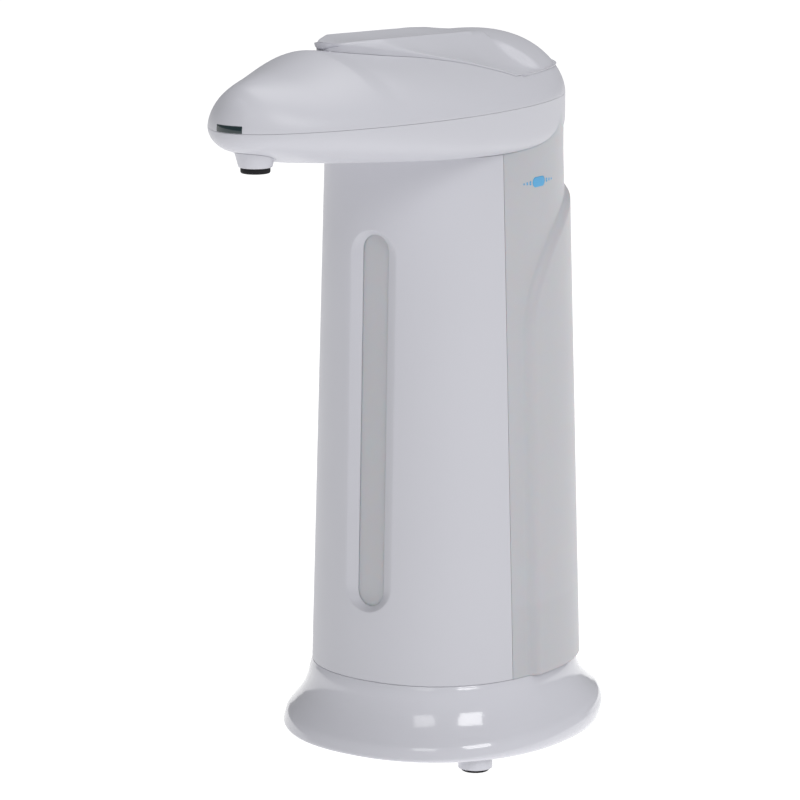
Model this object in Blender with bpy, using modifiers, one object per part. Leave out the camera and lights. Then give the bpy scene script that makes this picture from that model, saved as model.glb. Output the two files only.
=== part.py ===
# A battery-powered soap dispenser that pours by itself when a hand comes under its nose.
# A tapered column with a translucent tank stands on a flared foot and carries a long-nosed head.
# Metres, Z up. The nose points along -Y. All pieces are modelled about the column's own axis, and
# one empty then moves them so that the origin lies on the table under the middle of the whole.
import math

import bmesh
import bpy
from mathutils import Matrix, Vector

for leftover in list(bpy.data.objects):
    bpy.data.objects.remove(leftover, do_unlink=True)

# Fits and cuts
clearance = 0.0003
overrun = 0.004

# Column, an oval tower that tapers evenly from the foot's seam up to the head
seam_height = 0.03175
column_top_height = 0.222
column_foot_half_width = 0.0459
column_foot_half_length = 0.0506
column_top_half_width = 0.0410
column_top_half_length = 0.0451
column_power = 2.21
column_steps = 40

# Foot, a glossy shell that flares out under the column
foot_flare = 0.0104
foot_belly_height = 0.0110
foot_edge_height = 0.0055
foot_edge_outset = 0.0066
foot_lean = 0.0038
foot_width_share = 1.03
foot_length_share = 0.97
foot_wall = 0.0022
foot_deck = 0.0022
foot_lip_height = 0.0030
# Height above the belly as a share of the way up to the seam, with the flare left there
flare_shares = ((1.0, 0.0), (0.886, 0.077), (0.742, 0.144), (0.592, 0.25), (0.443, 0.423),
                (0.294, 0.654), (0.145, 0.904), (0.0, 1.0))
edge_shares = (0.35, 0.62, 0.83, 0.95, 1.0)

# Floor plate with four bosses and their rubber pads
plate_thickness = 0.0024
boss_radius = 0.00635
boss_neck_radius = 0.0042
boss_lift = 0.0013
pad_radius = 0.00515
pad_thickness = 0.0028
boss_half_span_x = 0.0367
boss_half_span_y = 0.0332
pad_edge = 0.0004

# Batteries, four small round cells side by side
cell_radius = 0.00525
cell_length = 0.0435
cell_nub_radius = 0.0019
cell_nub_length = 0.0010
cell_gap = 0.0003
cell_count = 4
cell_edge_share = 0.07
contact_thickness = 0.0005
contact_height = 0.0085
tray_wall = 0.0015
cover_thickness = 0.0020
cover_tab_length = 0.0090
cover_tab_width = 0.0140

# Screws
screw_radius = 0.0013
screw_length = 0.0090
screw_head_radius = 0.0026
screw_head_height = 0.0014
screw_slot_width = 0.0006
screw_slot_depth = 0.0007
screw_post_radius = 0.0032
screw_tip_share = 0.5
cover_screw_share = 0.6
plate_screw_land = 0.0012
post_x = 0.0290
post_y = 0.0330
lead_hole_y = 0.0270

# Power switch under the foot
switch_centre_y = 0.0400
switch_housing_size = (0.0130, 0.0070, 0.0060)
switch_wall = 0.0010
switch_knob_size = (0.0040, 0.0032)
switch_knob_reach = 0.0007
switch_flange_height = 0.0014
switch_travel = 0.0030

# Front shell with its long level window
front_wall = 0.0026
front_edge_y = -0.0187
slot_half_width = 0.0097
slot_window_half_width = 0.0058
slot_depth = 0.0023
slot_low = 0.0575
slot_high = 0.1973
slot_end_step = 0.0018
slot_arc_steps = 8
round_steps = 28

# Tank
tank_wall = 0.0022
tank_floor_top = 0.0583
tank_floor_thickness = 0.0025
channel_depth = 0.0062
channel_inner_x = 0.0125
channel_outer_x = 0.0270
channel_slope = 0.0015
arch_start_y = -0.0105
arch_bevel = 0.0033
arch_spring_height = 0.1600
arch_rise = 0.0506
arch_proud = 0.0022
arch_power = 1.75
body_blank_top = 0.2365
tank_rear_top_y = -0.0050

# Head outline at the seam between its two shells
head_seam_height = 0.2416
nose_reach = 0.1304
nose_roundness = 0.0230
head_half_width = 0.0448
head_widest_y = -0.0280
head_side_run = 0.0420
head_rear_reach = 0.0503
head_rear_power = 2.3
head_wall = 0.0020
thin_share = 0.1
nose_steps = 14
nose_station_power = 1.25
rear_steps = 8
section_steps = 16

# Crown, the upper shell's surface
crown_height = 0.2661
kink_height = 0.2650
kink_y = -0.0918
nose_round_share = 0.60
nose_round_run_share = 0.30
crown_fall_y = -0.0100
crown_fall_power = 2.9
crown_nose_power = 1.6
crown_rear_power = 1.8
crown_power_from_y = 0.0050
crown_power_to_y = 0.0350

# Underside of the head: how high it runs at places along the nose
underside_column_height = 0.2225
underside_front_height = 0.2295
underside_nose_height = 0.2343
underside_rear_height = 0.2285
underside_column_y = -0.0450
underside_front_y = -0.1010
underside_nose_y = -0.1240
underside_rear_y = 0.0485
underside_nose_power = 2.2
underside_column_power = 8.0

# Lid, a broad leaf that opens backwards
lid_front_y = -0.0766
lid_front_corner = 0.0012
lid_corner_y = -0.0095
lid_seam_height = 0.2517
lid_nose_height = 0.2685
lid_ridge_height = 0.2660
lid_ridge_half_width = 0.0125
lid_ridge_corner_share = 0.80
lid_dish_depth = 0.0016
lid_dome_proud = 0.0008
lid_lip = 0.0012
lid_tongue = 0.0012
lid_shoulder_y = 0.0120
lid_shoulder_run = 0.0060
lid_flank_power = 1.7
lid_wall = 0.0022
lid_row_shares = (0.012, 0.022, 0.035, 0.06, 0.11, 0.18, 0.26, 0.36, 0.48, 0.60, 0.73, 0.86, 1.0)
lid_rear_rows = 3
lid_end_shares = (0.3, 0.55, 0.75, 0.9, 1.0)
flank_columns = 5
dish_columns = 3
# Half width of the lid along its leaf, as shares of its half width at the corner
lid_leaf_shares = ((0.0, 0.0), (0.03, 0.13), (0.075, 0.21), (0.16, 0.30), (0.25, 0.385),
                   (0.345, 0.46), (0.47, 0.56), (0.60, 0.675), (0.73, 0.79), (0.86, 0.90), (1.0, 1.0))

# Hinge at the back of the lid
hinge_pin_radius = 0.0009
hinge_barrel_radius = 0.0019
hinge_way_radius = 0.0032
hinge_way_reach = 0.0160
hinge_split = 0.0050
barrel_steps = 12
shell_barrel_degrees = (-60.0, 240.0)
lid_barrel_degrees = (-190.0, 120.0)
web_shares = (0.87, 0.174)
hinge_rear_cover = 0.0007
hinge_reach = 0.0095
hinge_sole_reach = 0.0029
pin_play = 0.00006

# Filler deck, funnel and its seal
deck_height = 0.2460
deck_thickness = 0.0020
deck_inset = 0.0058
filler_centre_y = -0.0020
filler_radius = 0.0150
funnel_wall = 0.0014
funnel_flange = 0.0035
funnel_flange_height = 0.0012
funnel_drop = 0.0270
funnel_taper = 0.0015
seal_height = 0.0016
seal_width = 0.0030

# Spout and its black tip
spout_y = -0.1153
spout_top_radius = 0.0072
spout_foot_radius = 0.0060
spout_foot_height = 0.2284
spout_lip = 0.0014
tip_radius = 0.0052
tip_height = 0.2264
tip_bore_radius = 0.0016
tip_stem_radius = 0.0042
tip_stem_length = 0.0060

# Sensor window in the nose and the eyes behind it
window_half_width = 0.0052
window_high = 0.2444
window_depth = 0.0036
eye_radius = 0.0015
eye_length = 0.0016
eye_spacing = 0.0056
board_thickness = 0.0012
sensor_board_size = (0.0140, 0.0080)
main_board_size = (0.0300, 0.0340)
main_board_y = -0.0790
board_post_radius = 0.0022
board_height = 0.2425
sensor_board_y = -0.1245
sensor_board_low = 0.2385
deck_posts = ((-0.0290, -0.0250), (0.0290, -0.0250), (-0.0290, 0.0200), (0.0290, 0.0200))

# Hoses and lead
hose_radius = 0.0022
hose_x = 0.0200
riser_inset = 0.0059
lead_radius = 0.0012
lead_x = -0.0200
hose_bend = 0.0040
bend_share = 0.45

# Pump, its gears and the motor, between the foot's deck and the tank's floor
drive_height = 0.0441
gear_module = 0.0008
pinion_teeth = 12
wheel_teeth = 24
gear_width = 0.0040
gear_plane_y = -0.0110
pump_module = 0.00125
pump_teeth = 8
pump_gear_width = 0.0070
pump_wall = 0.0020
pump_cover_thickness = 0.0016
shaft_radius = 0.0011
tooth_play_share = 0.16
wheel_x = -0.0020
motor_radius = 0.0095
motor_length = 0.0240
motor_shaft_length = 0.0070
bracket_thickness = 0.0016
motor_bracket_gap = 0.0004
pump_rear_y = -0.0140
addendum_share = 0.86
dedendum_share = 1.1
pressure_degrees = 20.0
flank_steps = 2
nipple_radius = 0.0016
nipple_length = 0.0040
nipple_bore_radius = 0.0009
hose_wall = 0.0010
pump_play = 0.00015
pump_outlet_drop = 0.0055
motor_front_y = -0.0050
motor_nose_radius = 0.0030
motor_nose_length = 0.0015
spout_flange_height = 0.2372
deck_front_y = -0.0820
deck_rear_inset = 0.0130
lead_turn_height = 0.2330
hose_run_height = 0.2365
lead_floor = 0.0350
lead_front_y = 0.0410
lead_side_x = -0.0290
strainer_radius = 0.0060
strainer_height = 0.0030

# Worked out from the above
column_rise = column_top_height - seam_height
rear_reach = column_foot_half_length + foot_flare * foot_length_share
axis_y = (nose_reach - rear_reach) / 2
column_floor = seam_height + clearance
front_inset = front_wall + clearance
arch_end_y = column_top_half_length + arch_proud
lip_top = foot_edge_height + foot_lip_height
plate_outset = foot_edge_outset - foot_wall - clearance
plate_low = foot_edge_height + clearance
plate_high = plate_low + plate_thickness
deck_low = seam_height - foot_deck
bay_half_x = (cell_count * (2 * cell_radius + cell_gap) + cell_gap) / 2
bay_half_y = cell_length / 2 + cell_nub_length / 2 + contact_thickness + 2 * clearance
cover_high = plate_low + cover_thickness
cell_height = cover_high + clearance + cell_radius
tray_inner_top = cell_height + cell_radius + clearance
tray_low = plate_high + clearance

parts = bpy.data.collections.new("soap_dispenser")
cutters = bpy.data.collections.new("cutters")
bpy.context.scene.collection.children.link(parts)
bpy.context.scene.collection.children.link(cutters)
column_axis = bpy.data.objects.new("column_axis", None)
column_axis.location = (0.0, axis_y, 0.0)
column_axis.empty_display_size = boss_radius
parts.objects.link(column_axis)


def make_finish(name, colour, roughness, metallic=0.0, see_through=0.0):
    material = bpy.data.materials.new(name)
    material.use_nodes = True
    shader = material.node_tree.nodes["Principled BSDF"]
    shader.inputs["Base Color"].default_value = (*colour, 1.0)
    shader.inputs["Roughness"].default_value = roughness
    shader.inputs["Metallic"].default_value = metallic
    shader.inputs["Transmission Weight"].default_value = see_through
    return material


satin_white = make_finish("satin_white", (0.78, 0.78, 0.80), 0.38)
gloss_white = make_finish("gloss_white", (0.84, 0.84, 0.86), 0.12)
milky_clear = make_finish("milky_clear", (0.66, 0.67, 0.70), 0.32, see_through=0.5)
inner_grey = make_finish("inner_grey", (0.42, 0.43, 0.45), 0.5)
black_rubber = make_finish("black_rubber", (0.02, 0.02, 0.022), 0.7)
dark_window = make_finish("dark_window", (0.01, 0.03, 0.03), 0.1)
board_green = make_finish("board_green", (0.03, 0.2, 0.09), 0.5)
bright_steel = make_finish("bright_steel", (0.62, 0.63, 0.65), 0.25, 1.0)
spring_brass = make_finish("spring_brass", (0.75, 0.6, 0.3), 0.3, 1.0)
cell_green = make_finish("cell_green", (0.08, 0.3, 0.14), 0.3)
gear_nylon = make_finish("gear_nylon", (0.85, 0.84, 0.78), 0.45)
clear_hose = make_finish("clear_hose", (0.75, 0.77, 0.8), 0.25, see_through=0.4)
lead_red = make_finish("lead_red", (0.4, 0.03, 0.03), 0.5)


def keep(obj, finish=None, pivot=None, cutter=False):
    """Files an object as a piece or a cutter, with its origin on the pivot."""
    if pivot is not None:
        obj.data.transform(Matrix.Translation(-Vector(pivot)))
        obj.location = pivot
    if cutter:
        obj.hide_render = True
        obj.display_type = "WIRE"
        cutters.objects.link(obj)
    else:
        obj.data.materials.clear()
        obj.data.materials.append(finish)
        parts.objects.link(obj)
    obj.parent = column_axis
    return obj


def from_bmesh(name, bm, smooth_degrees=35.0):
    mesh = bpy.data.meshes.new(name)
    bm.to_mesh(mesh)
    bm.free()
    mesh.shade_smooth()
    mesh.set_sharp_from_angle(angle=math.radians(smooth_degrees))
    return bpy.data.objects.new(name, mesh)


def oval_point(angle, half_x, half_y, power=column_power):
    """A point of a squarish oval; angle 0 is +X and -90 degrees is the front."""
    c, s = math.cos(angle), math.sin(angle)
    return (half_x * math.copysign(abs(c) ** (2 / power), c),
            half_y * math.copysign(abs(s) ** (2 / power), s))


def loft(name, rings, wrap=True, cap_first=True, cap_last=True, join_ends=False, strips=False):
    """Skins a stack of rings with equal counts of points; strips fills the ends by pairing their halves."""
    bm = bmesh.new()
    loops = [[bm.verts.new(p) for p in ring] for ring in rings]
    pairs = list(zip(loops, loops[1:]))
    if join_ends:
        pairs.append((loops[-1], loops[0]))
    for low, high in pairs:
        count = len(low)
        for i in range(count if wrap else count - 1):
            j = (i + 1) % count
            corners = [low[i], low[j], high[j], high[i]]
            bm.faces.new(corners)
    if strips:
        for ends in (loops[0], loops[-1]):
            last = len(ends) - 1
            for i in range(len(ends) // 2 - 1):
                bm.faces.new((ends[i], ends[i + 1], ends[last - i - 1], ends[last - i]))
        cap_first = cap_last = False
    if cap_first and not join_ends:
        bm.faces.new(loops[0])
    if cap_last and not join_ends:
        bm.faces.new(loops[-1])
    bmesh.ops.remove_doubles(bm, verts=bm.verts, dist=clearance / 30)
    bmesh.ops.recalc_face_normals(bm, faces=bm.faces)
    return from_bmesh(name, bm)


def cylinder(name, radius, low, high, centre=(0.0, 0.0), steps=24, axis="Z", top_radius=None):
    """A round bar from low to high along its axis; centre gives the other two places."""
    bm = bmesh.new()
    bmesh.ops.create_cone(bm, cap_ends=True, segments=steps, radius1=radius,
                          radius2=radius if top_radius is None else top_radius, depth=high - low)
    bmesh.ops.translate(bm, verts=bm.verts, vec=(0, 0, (low + high) / 2))
    if axis == "Y":
        bmesh.ops.rotate(bm, verts=bm.verts, matrix=Matrix.Rotation(-math.pi / 2, 3, "X"))
        bmesh.ops.translate(bm, verts=bm.verts, vec=(centre[0], 0, centre[1]))
    elif axis == "X":
        bmesh.ops.rotate(bm, verts=bm.verts, matrix=Matrix.Rotation(math.pi / 2, 3, "Y"))
        bmesh.ops.translate(bm, verts=bm.verts, vec=(0, centre[0], centre[1]))
    else:
        bmesh.ops.translate(bm, verts=bm.verts, vec=(centre[0], centre[1], 0))
    return from_bmesh(name, bm)


def turned(name, profile, centre, steps=24):
    """A round piece turned about an upright axis; its profile runs top to bottom on the outside."""
    mesh = bpy.data.meshes.new(name)
    count = len(profile)
    links = count - 1 if profile[0][0] == 0.0 else count
    mesh.from_pydata([(r, 0.0, z) for r, z in profile], [(i, (i + 1) % count) for i in range(links)], [])
    obj = bpy.data.objects.new(name, mesh)
    obj.location = (centre[0], centre[1], 0.0)
    screw = obj.modifiers.new("turn", "SCREW")
    screw.steps = steps
    screw.render_steps = steps
    screw.use_merge_vertices = True
    screw.merge_threshold = clearance / 30
    screw.use_smooth_shade = True
    return obj


def block(name, low, high):
    bm = bmesh.new()
    bmesh.ops.create_cube(bm, size=1.0)
    bmesh.ops.scale(bm, verts=bm.verts, vec=[h - l for l, h in zip(low, high)])
    bmesh.ops.translate(bm, verts=bm.verts, vec=[(h + l) / 2 for l, h in zip(low, high)])
    return from_bmesh(name, bm)


def bore(piece, cutter, operation="DIFFERENCE"):
    """Cuts a piece with a cutter, or joins the cutter to it."""
    keep(cutter, cutter=True)
    step = piece.modifiers.new(cutter.name, "BOOLEAN")
    step.operation = operation
    step.solver = "EXACT"
    step.object = cutter


def bevel(piece, width, segments=2):
    step = piece.modifiers.new("soft_edges", "BEVEL")
    step.width = width
    step.segments = segments
    step.limit_method = "ANGLE"
    step.angle_limit = math.radians(50.0)


def wire(name, points, radius, finish, sides=2):
    """A round hose or lead along hand-picked points, smoothed into one curve."""
    data = bpy.data.curves.new(name, "CURVE")
    data.dimensions = "3D"
    data.bevel_depth = radius
    data.bevel_resolution = sides
    data.use_fill_caps = True
    spline = data.splines.new("POLY")
    smooth = round_corners(points, hose_bend)
    spline.points.add(len(smooth) - 1)
    for point, place in zip(spline.points, smooth):
        point.co = (*place, 1.0)
    obj = bpy.data.objects.new(name, data)
    return keep(obj, finish)


def round_corners(points, radius, steps=4):
    """Replaces each inner corner of a path by an arc."""
    path = [Vector(p) for p in points]
    result = [path[0]]
    for before, corner, after in zip(path, path[1:], path[2:]):
        into, out = (before - corner), (after - corner)
        reach = min(radius, into.length * bend_share, out.length * bend_share)
        start = corner + into.normalized() * reach
        end = corner + out.normalized() * reach
        for i in range(steps + 1):
            t = i / steps
            result.append(start * (1 - t) ** 2 + corner * 2 * t * (1 - t) + end * t ** 2)
    result.append(path[-1])
    return result


# Column surface

def column_half(height):
    share = (height - seam_height) / column_rise
    return (column_foot_half_width + share * (column_top_half_width - column_foot_half_width),
            column_foot_half_length + share * (column_top_half_length - column_foot_half_length))


def column_angle_at_y(y, height, inset=0.0):
    """The angle on the +X side at which the column's oval crosses a given depth."""
    half_y = column_half(height)[1] - inset
    return math.copysign(math.asin(min(1.0, abs(y) / half_y) ** (column_power / 2)), y)


# Foot

def foot_outset(height):
    """How far the flare stands out from the column's foot."""
    if height >= foot_belly_height:
        up = (height - foot_belly_height) / (seam_height - foot_belly_height)
        for (high, big), (low, small) in zip(flare_shares, flare_shares[1:]):
            if low <= up <= high:
                return foot_flare * (big + (small - big) * (high - up) / (high - low))
        return 0.0
    down = min(1.0, (foot_belly_height - height) / (foot_belly_height - foot_edge_height))
    return foot_flare - (foot_flare - foot_edge_outset) * (1 - math.sqrt(max(0.0, 1 - down ** 2)))


def foot_ring(height, outset, leans=True):
    """A ring of the foot; between its edge and the seam it leans, low in front and high behind."""
    if height >= foot_belly_height:
        weight = (seam_height - height) / (seam_height - foot_belly_height)
    else:
        weight = (height - foot_edge_height) / (foot_belly_height - foot_edge_height)
    half_x = column_foot_half_width + outset * foot_width_share
    half_y = column_foot_half_length + outset * foot_length_share
    slope = foot_lean / column_foot_half_length * max(0.0, weight) * (1 if leans else 0)
    points = (oval_point(2 * math.pi * i / column_steps, half_x, half_y) for i in range(column_steps))
    return [(x, y, height + slope * y) for x, y in points]




def make_foot_shell():
    heights = [foot_belly_height + share * (seam_height - foot_belly_height) for share, _ in flare_shares]
    outer = [(h, foot_outset(h)) for h in heights]
    outer += [(h, foot_outset(h)) for h in
              (foot_belly_height - share * (foot_belly_height - foot_edge_height) for share in edge_shares)]
    inner_edge = foot_edge_outset - foot_wall
    lip = [(foot_edge_height, inner_edge), (lip_top, inner_edge)]
    inner = [(h, foot_outset(h) - foot_wall) for h in reversed(heights[1:])
             if lip_top + 2 * foot_wall < h < deck_low - foot_wall]
    inner += [(deck_low, foot_outset(deck_low) - foot_wall)]
    rings = [foot_ring(h, o) for h, o in outer]
    rings += [foot_ring(h, o, leans=False) for h, o in lip]
    rings += [foot_ring(h, o) for h, o in inner]
    shell = loft("foot_shell", rings)
    bore(shell, block("wire_hole_cutter", (lead_x - 3 * lead_radius, -lead_hole_y - 3 * lead_radius,
                                           deck_low - overrun),
                      (lead_x + 3 * lead_radius, -lead_hole_y + 3 * lead_radius, seam_height + overrun)))
    for side_x in (-1, 1):
        for side_y in (-1, 1):
            name = "post_%s_%s" % ("right" if side_x > 0 else "left", "rear" if side_y > 0 else "front")
            post = cylinder(name, screw_post_radius, plate_high + clearance, deck_low + foot_deck / 2,
                            (side_x * post_x, side_y * post_y), 16)
            bore(shell, post, "UNION")
            bore(shell, cylinder(name + "_bore", screw_radius + clearance / 2, plate_high - overrun,
                    plate_high + screw_length + clearance, (side_x * post_x, side_y * post_y), 12))
    keep(shell, gloss_white)



def make_floor_plate():
    rings = [foot_ring(h, plate_outset, leans=False) for h in (plate_low, plate_high)]
    plate = loft("floor_plate", rings)
    for i, (sx, sy) in enumerate(((-1, -1), (1, -1), (1, 1), (-1, 1))):
        place = (sx * boss_half_span_x, sy * boss_half_span_y)
        bore(plate, cylinder("boss_%d" % i, boss_radius, boss_lift, foot_edge_height - clearance, place,
                             round_steps - 8), "UNION")
        bore(plate, cylinder("boss_neck_%d" % i, boss_neck_radius, foot_edge_height - 3 * clearance,
                             plate_low + plate_thickness / 2, place, 12), "UNION")
        bore(plate, cylinder("pad_seat_%d" % i, pad_radius + clearance / 2, boss_lift - overrun,
                             pad_thickness + clearance, place, round_steps - 8))
        screw_place = (sx * post_x, sy * post_y)
        bore(plate, cylinder("plate_screw_bore_%d" % i, screw_radius + clearance / 2, 0.0,
                             plate_high + overrun, screw_place, 12))
        bore(plate, cylinder("plate_screw_seat_%d" % i, screw_head_radius + clearance / 2, 0.0,
                             plate_high - plate_screw_land, screw_place, 16))
    bore(plate, block("bay_cutter", (-bay_half_x, -bay_half_y, plate_low - overrun),
                      (bay_half_x, bay_half_y, plate_high + overrun)))
    bore(plate, block("tab_cutter", (-cover_tab_width / 2, -bay_half_y - cover_tab_length,
                                     plate_low - overrun),
                      (cover_tab_width / 2, -bay_half_y + overrun, plate_high + overrun)))
    knob_x, knob_y = switch_knob_size
    bore(plate, block("knob_way_cutter",
                      (-knob_x / 2 - switch_travel / 2 - clearance,
                       switch_centre_y - knob_y / 2 - clearance, plate_low - overrun),
                      (knob_x / 2 + switch_travel / 2 + clearance,
                       switch_centre_y + knob_y / 2 + clearance, plate_high + overrun)))
    keep(plate, gloss_white)



def make_pads_and_screws():
    names = ("front_left", "front_right", "rear_right", "rear_left")
    for name, (sx, sy) in zip(names, ((-1, -1), (1, -1), (1, 1), (-1, 1))):
        x, y = sx * boss_half_span_x, sy * boss_half_span_y
        profile = [(0.0, pad_thickness), (pad_radius, pad_thickness), (pad_radius, pad_edge),
                   (pad_radius - pad_edge, 0.0), (0.0, 0.0)]
        pad = turned("foot_pad_" + name, profile, (x, y), round_steps - 8)
        keep(pad, black_rubber)
        head_low = plate_high - plate_screw_land - clearance - screw_head_height
        keep(screw_blank("foot_screw_" + name, (sx * post_x, sy * post_y), head_low, screw_length),
             bright_steel)


def screw_blank(name, centre, head_low, length):
    """A screw that points up, with a cross slot in its head."""
    tip = head_low + screw_head_height + length - clearance
    profile = [(0.0, tip), (screw_radius * screw_tip_share, tip), (screw_radius, tip - screw_radius),
            (screw_radius, head_low + screw_head_height), (screw_head_radius,
            head_low + screw_head_height), (screw_head_radius, head_low), (0.0, head_low)]
    piece = turned(name, profile, centre, 12)
    bore(piece, block(name + "_slot", (centre[0] - screw_head_radius - overrun,
                                       centre[1] - screw_slot_width / 2, head_low - overrun),
                      (centre[0] + screw_head_radius + overrun, centre[1] + screw_slot_width / 2,
                       head_low + screw_slot_depth)))
    return piece


def make_battery_bay():
    tray = block("battery_tray", (-bay_half_x - tray_wall, -bay_half_y - tray_wall, tray_low),
                 (bay_half_x + tray_wall, bay_half_y + tray_wall, tray_inner_top + tray_wall))
    bore(tray, block("tray_cutter", (-bay_half_x, -bay_half_y, tray_low - overrun),
                     (bay_half_x, bay_half_y, tray_inner_top)))
    keep(tray, inner_grey)
    for i in range(cell_count):
        x = (i - (cell_count - 1) / 2) * (2 * cell_radius + cell_gap)
        turn = 1 if i % 2 == 0 else -1
        low = -cell_length / 2
        edge = cell_radius * cell_edge_share
        shoulder = cell_length / 2 - cell_nub_length / 2
        profile = [(0.0, shoulder + cell_nub_length), (cell_nub_radius, shoulder + cell_nub_length),
                   (cell_nub_radius, shoulder),
                   (cell_radius - edge, shoulder), (cell_radius, shoulder - edge),
                   (cell_radius, low + edge), (cell_radius - edge, low), (0.0, low)]
        cell = turned("battery_%d" % (i + 1), profile, (0.0, 0.0), 16)
        cell.rotation_euler = (-turn * math.pi / 2, 0.0, 0.0)
        cell.location = (x, 0.0, cell_height)
        keep(cell, cell_green)
    for name, side in (("contact_plate_front", -1), ("contact_plate_rear", 1)):
        near = side * (bay_half_y - clearance)
        far = near - side * contact_thickness
        keep(block(name, (-bay_half_x + clearance, min(near, far), cell_height - contact_height / 2),
                   (bay_half_x - clearance, max(near, far),
                    cell_height + contact_height / 2)), spring_brass)
    tab_y = -bay_half_y - cover_tab_length
    cover = block("battery_cover", (-bay_half_x + clearance, -bay_half_y + clearance, plate_low),
                  (bay_half_x - clearance, bay_half_y - clearance, cover_high))
    bore(cover, block("cover_tab", (-cover_tab_width / 2 + clearance, tab_y + clearance, plate_low),
                      (cover_tab_width / 2 - clearance, -bay_half_y + overrun, cover_high)), "UNION")
    screw_y = tab_y + cover_tab_length / 2
    bore(cover, cylinder("cover_screw_bore", screw_radius + clearance / 2, plate_low - overrun,
                         cover_high + overrun, (0, screw_y), 12))
    bore(cover, cylinder("cover_screw_seat", screw_head_radius + clearance / 2, plate_low - overrun,
                         cover_high - plate_screw_land, (0, screw_y), 16))
    keep(cover, gloss_white)
    head_low = cover_high - plate_screw_land - clearance - screw_head_height
    keep(screw_blank("battery_cover_screw", (0.0, screw_y), head_low, screw_length * cover_screw_share),
         bright_steel)
    boss_low = plate_high + clearance
    bore(tray, cylinder("cover_boss", screw_post_radius, boss_low, tray_inner_top, (0.0, screw_y), 16),
         "UNION")
    bore(tray, block("cover_boss_web", (-screw_post_radius / 2, screw_y, boss_low),
                     (screw_post_radius / 2, -bay_half_y - tray_wall / 2, tray_inner_top)), "UNION")
    bore(tray, cylinder("cover_boss_bore", screw_radius + clearance / 2, boss_low - overrun,
                        cover_high + screw_length + clearance, (0.0, screw_y), 12))


def make_switch():
    size_x, size_y, size_z = switch_housing_size
    low = plate_high + clearance
    housing = block("switch_housing", (-size_x / 2, switch_centre_y - size_y / 2, low),
                    (size_x / 2, switch_centre_y + size_y / 2, low + size_z))
    knob_x, knob_y = switch_knob_size
    flange_x = knob_x + 2 * switch_wall
    pocket_x = flange_x / 2 + switch_travel / 2 + clearance
    pocket_y = knob_y / 2 + clearance
    pocket_top = low + switch_flange_height + 2 * clearance
    bore(housing, block("switch_pocket_cutter", (-pocket_x, switch_centre_y - pocket_y, low - overrun),
                        (pocket_x, switch_centre_y + pocket_y, pocket_top)))
    keep(housing, inner_grey)
    rest_x = -switch_travel / 2
    flange = block("power_switch_knob", (rest_x - flange_x / 2, switch_centre_y - knob_y / 2,
                                         low + clearance),
                   (rest_x + flange_x / 2, switch_centre_y + knob_y / 2,
                    low + clearance + switch_flange_height))
    bore(flange, block("knob_stem", (rest_x - knob_x / 2, switch_centre_y - knob_y / 2 + clearance / 2,
                                     plate_low - switch_knob_reach),
                       (rest_x + knob_x / 2, switch_centre_y + knob_y / 2 - clearance / 2,
                        low + clearance + switch_flange_height / 2)), "UNION")
    keep(flange, black_rubber, pivot=(rest_x, switch_centre_y, low))


# Front shell

def column_front_y(x, height):
    """The column's front surface at a place across its width."""
    half_x, half_y = column_half(height)
    return -half_y * (1 - min(1.0, abs(x) / half_x) ** column_power) ** (1 / column_power)


def stadium(half_width, low, high):
    """An upright slot's outline in x and height, with round ends."""
    points = []
    for centre, first in ((high - half_width, 0.0), (low + half_width, math.pi)):
        for i in range(slot_arc_steps + 1):
            a = first + math.pi * i / slot_arc_steps
            points.append((half_width * math.cos(a), centre + half_width * math.sin(a)))
    middle = (low + high) / 2
    third = (high - low) / 6
    out = []
    for i, p in enumerate(points):
        out.append(p)
        if i == slot_arc_steps:
            out += [(-half_width, middle + third), (-half_width, middle - third)]
    out += [(half_width, middle - third), (half_width, middle + third)]
    return out


def make_front_shell():
    count = 30
    rings = []
    for height in (column_floor, body_blank_top):
        half_x, half_y = column_half(height)
        first = column_angle_at_y(front_edge_y, height)
        ring = []
        for i in range(count + 1):
            angle = first + (-math.pi - 2 * first) * i / count
            ring.append((*oval_point(angle, half_x, half_y), height))
        rings.append(ring)
    shell = loft("front_shell", rings[::-1], wrap=False, cap_first=False, cap_last=False)
    thicken(shell, front_wall)
    outer = stadium(slot_half_width, slot_low, slot_high)
    inner = stadium(slot_window_half_width, slot_low + slot_end_step, slot_high - slot_end_step)
    steps = ((outer, -overrun), (outer, 0.0), (inner, slot_depth), (inner, front_wall + overrun))
    rings = [[(x, column_front_y(x, z) + depth, z) for x, z in outline] for outline, depth in steps]
    bore(shell, loft("slot_cutter", rings))
    bore(shell, head_envelope("shell_top_cutter"))
    keep(shell, satin_white)


def thicken(shell, wall):
    """Gives an open sheet its wall on the inside; the sheet's faces point outwards."""
    bm = bmesh.new()
    bm.from_mesh(shell.data)
    centre = sum((f.calc_center_median() for f in bm.faces), Vector()) / len(bm.faces)
    outward = sum(1 if (f.calc_center_median() - centre).dot(f.normal) > 0 else -1 for f in bm.faces)
    if outward < 0:
        bmesh.ops.reverse_faces(bm, faces=bm.faces)
    bm.to_mesh(shell.data)
    bm.free()
    step = shell.modifiers.new("wall", "SOLIDIFY")
    step.thickness = wall
    step.offset = -1.0
    step.use_even_offset = True


# Tank

def offset_outline(points, distances):
    """Moves each point of a closed outline outwards by its own distance."""
    count = len(points)
    area = sum(points[i][0] * points[(i + 1) % count][1] - points[(i + 1) % count][0] * points[i][1]
            for i in range(count))
    turn = 1.0 if area > 0 else -1.0
    moved = []
    for i in range(count):
        before, here, after = (Vector(points[k % count][:2]) for k in (i - 1, i, i + 1))
        a = (here - before).normalized()
        b = (after - here).normalized()
        normal_a = Vector((a.y, -a.x)) * turn
        normal_b = Vector((b.y, -b.x)) * turn
        middle = normal_a + normal_b
        stretch = 2.0 / max(1.0, middle.length_squared)
        moved.append(tuple(here + middle * distances[i] * stretch))
    return moved



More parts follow.
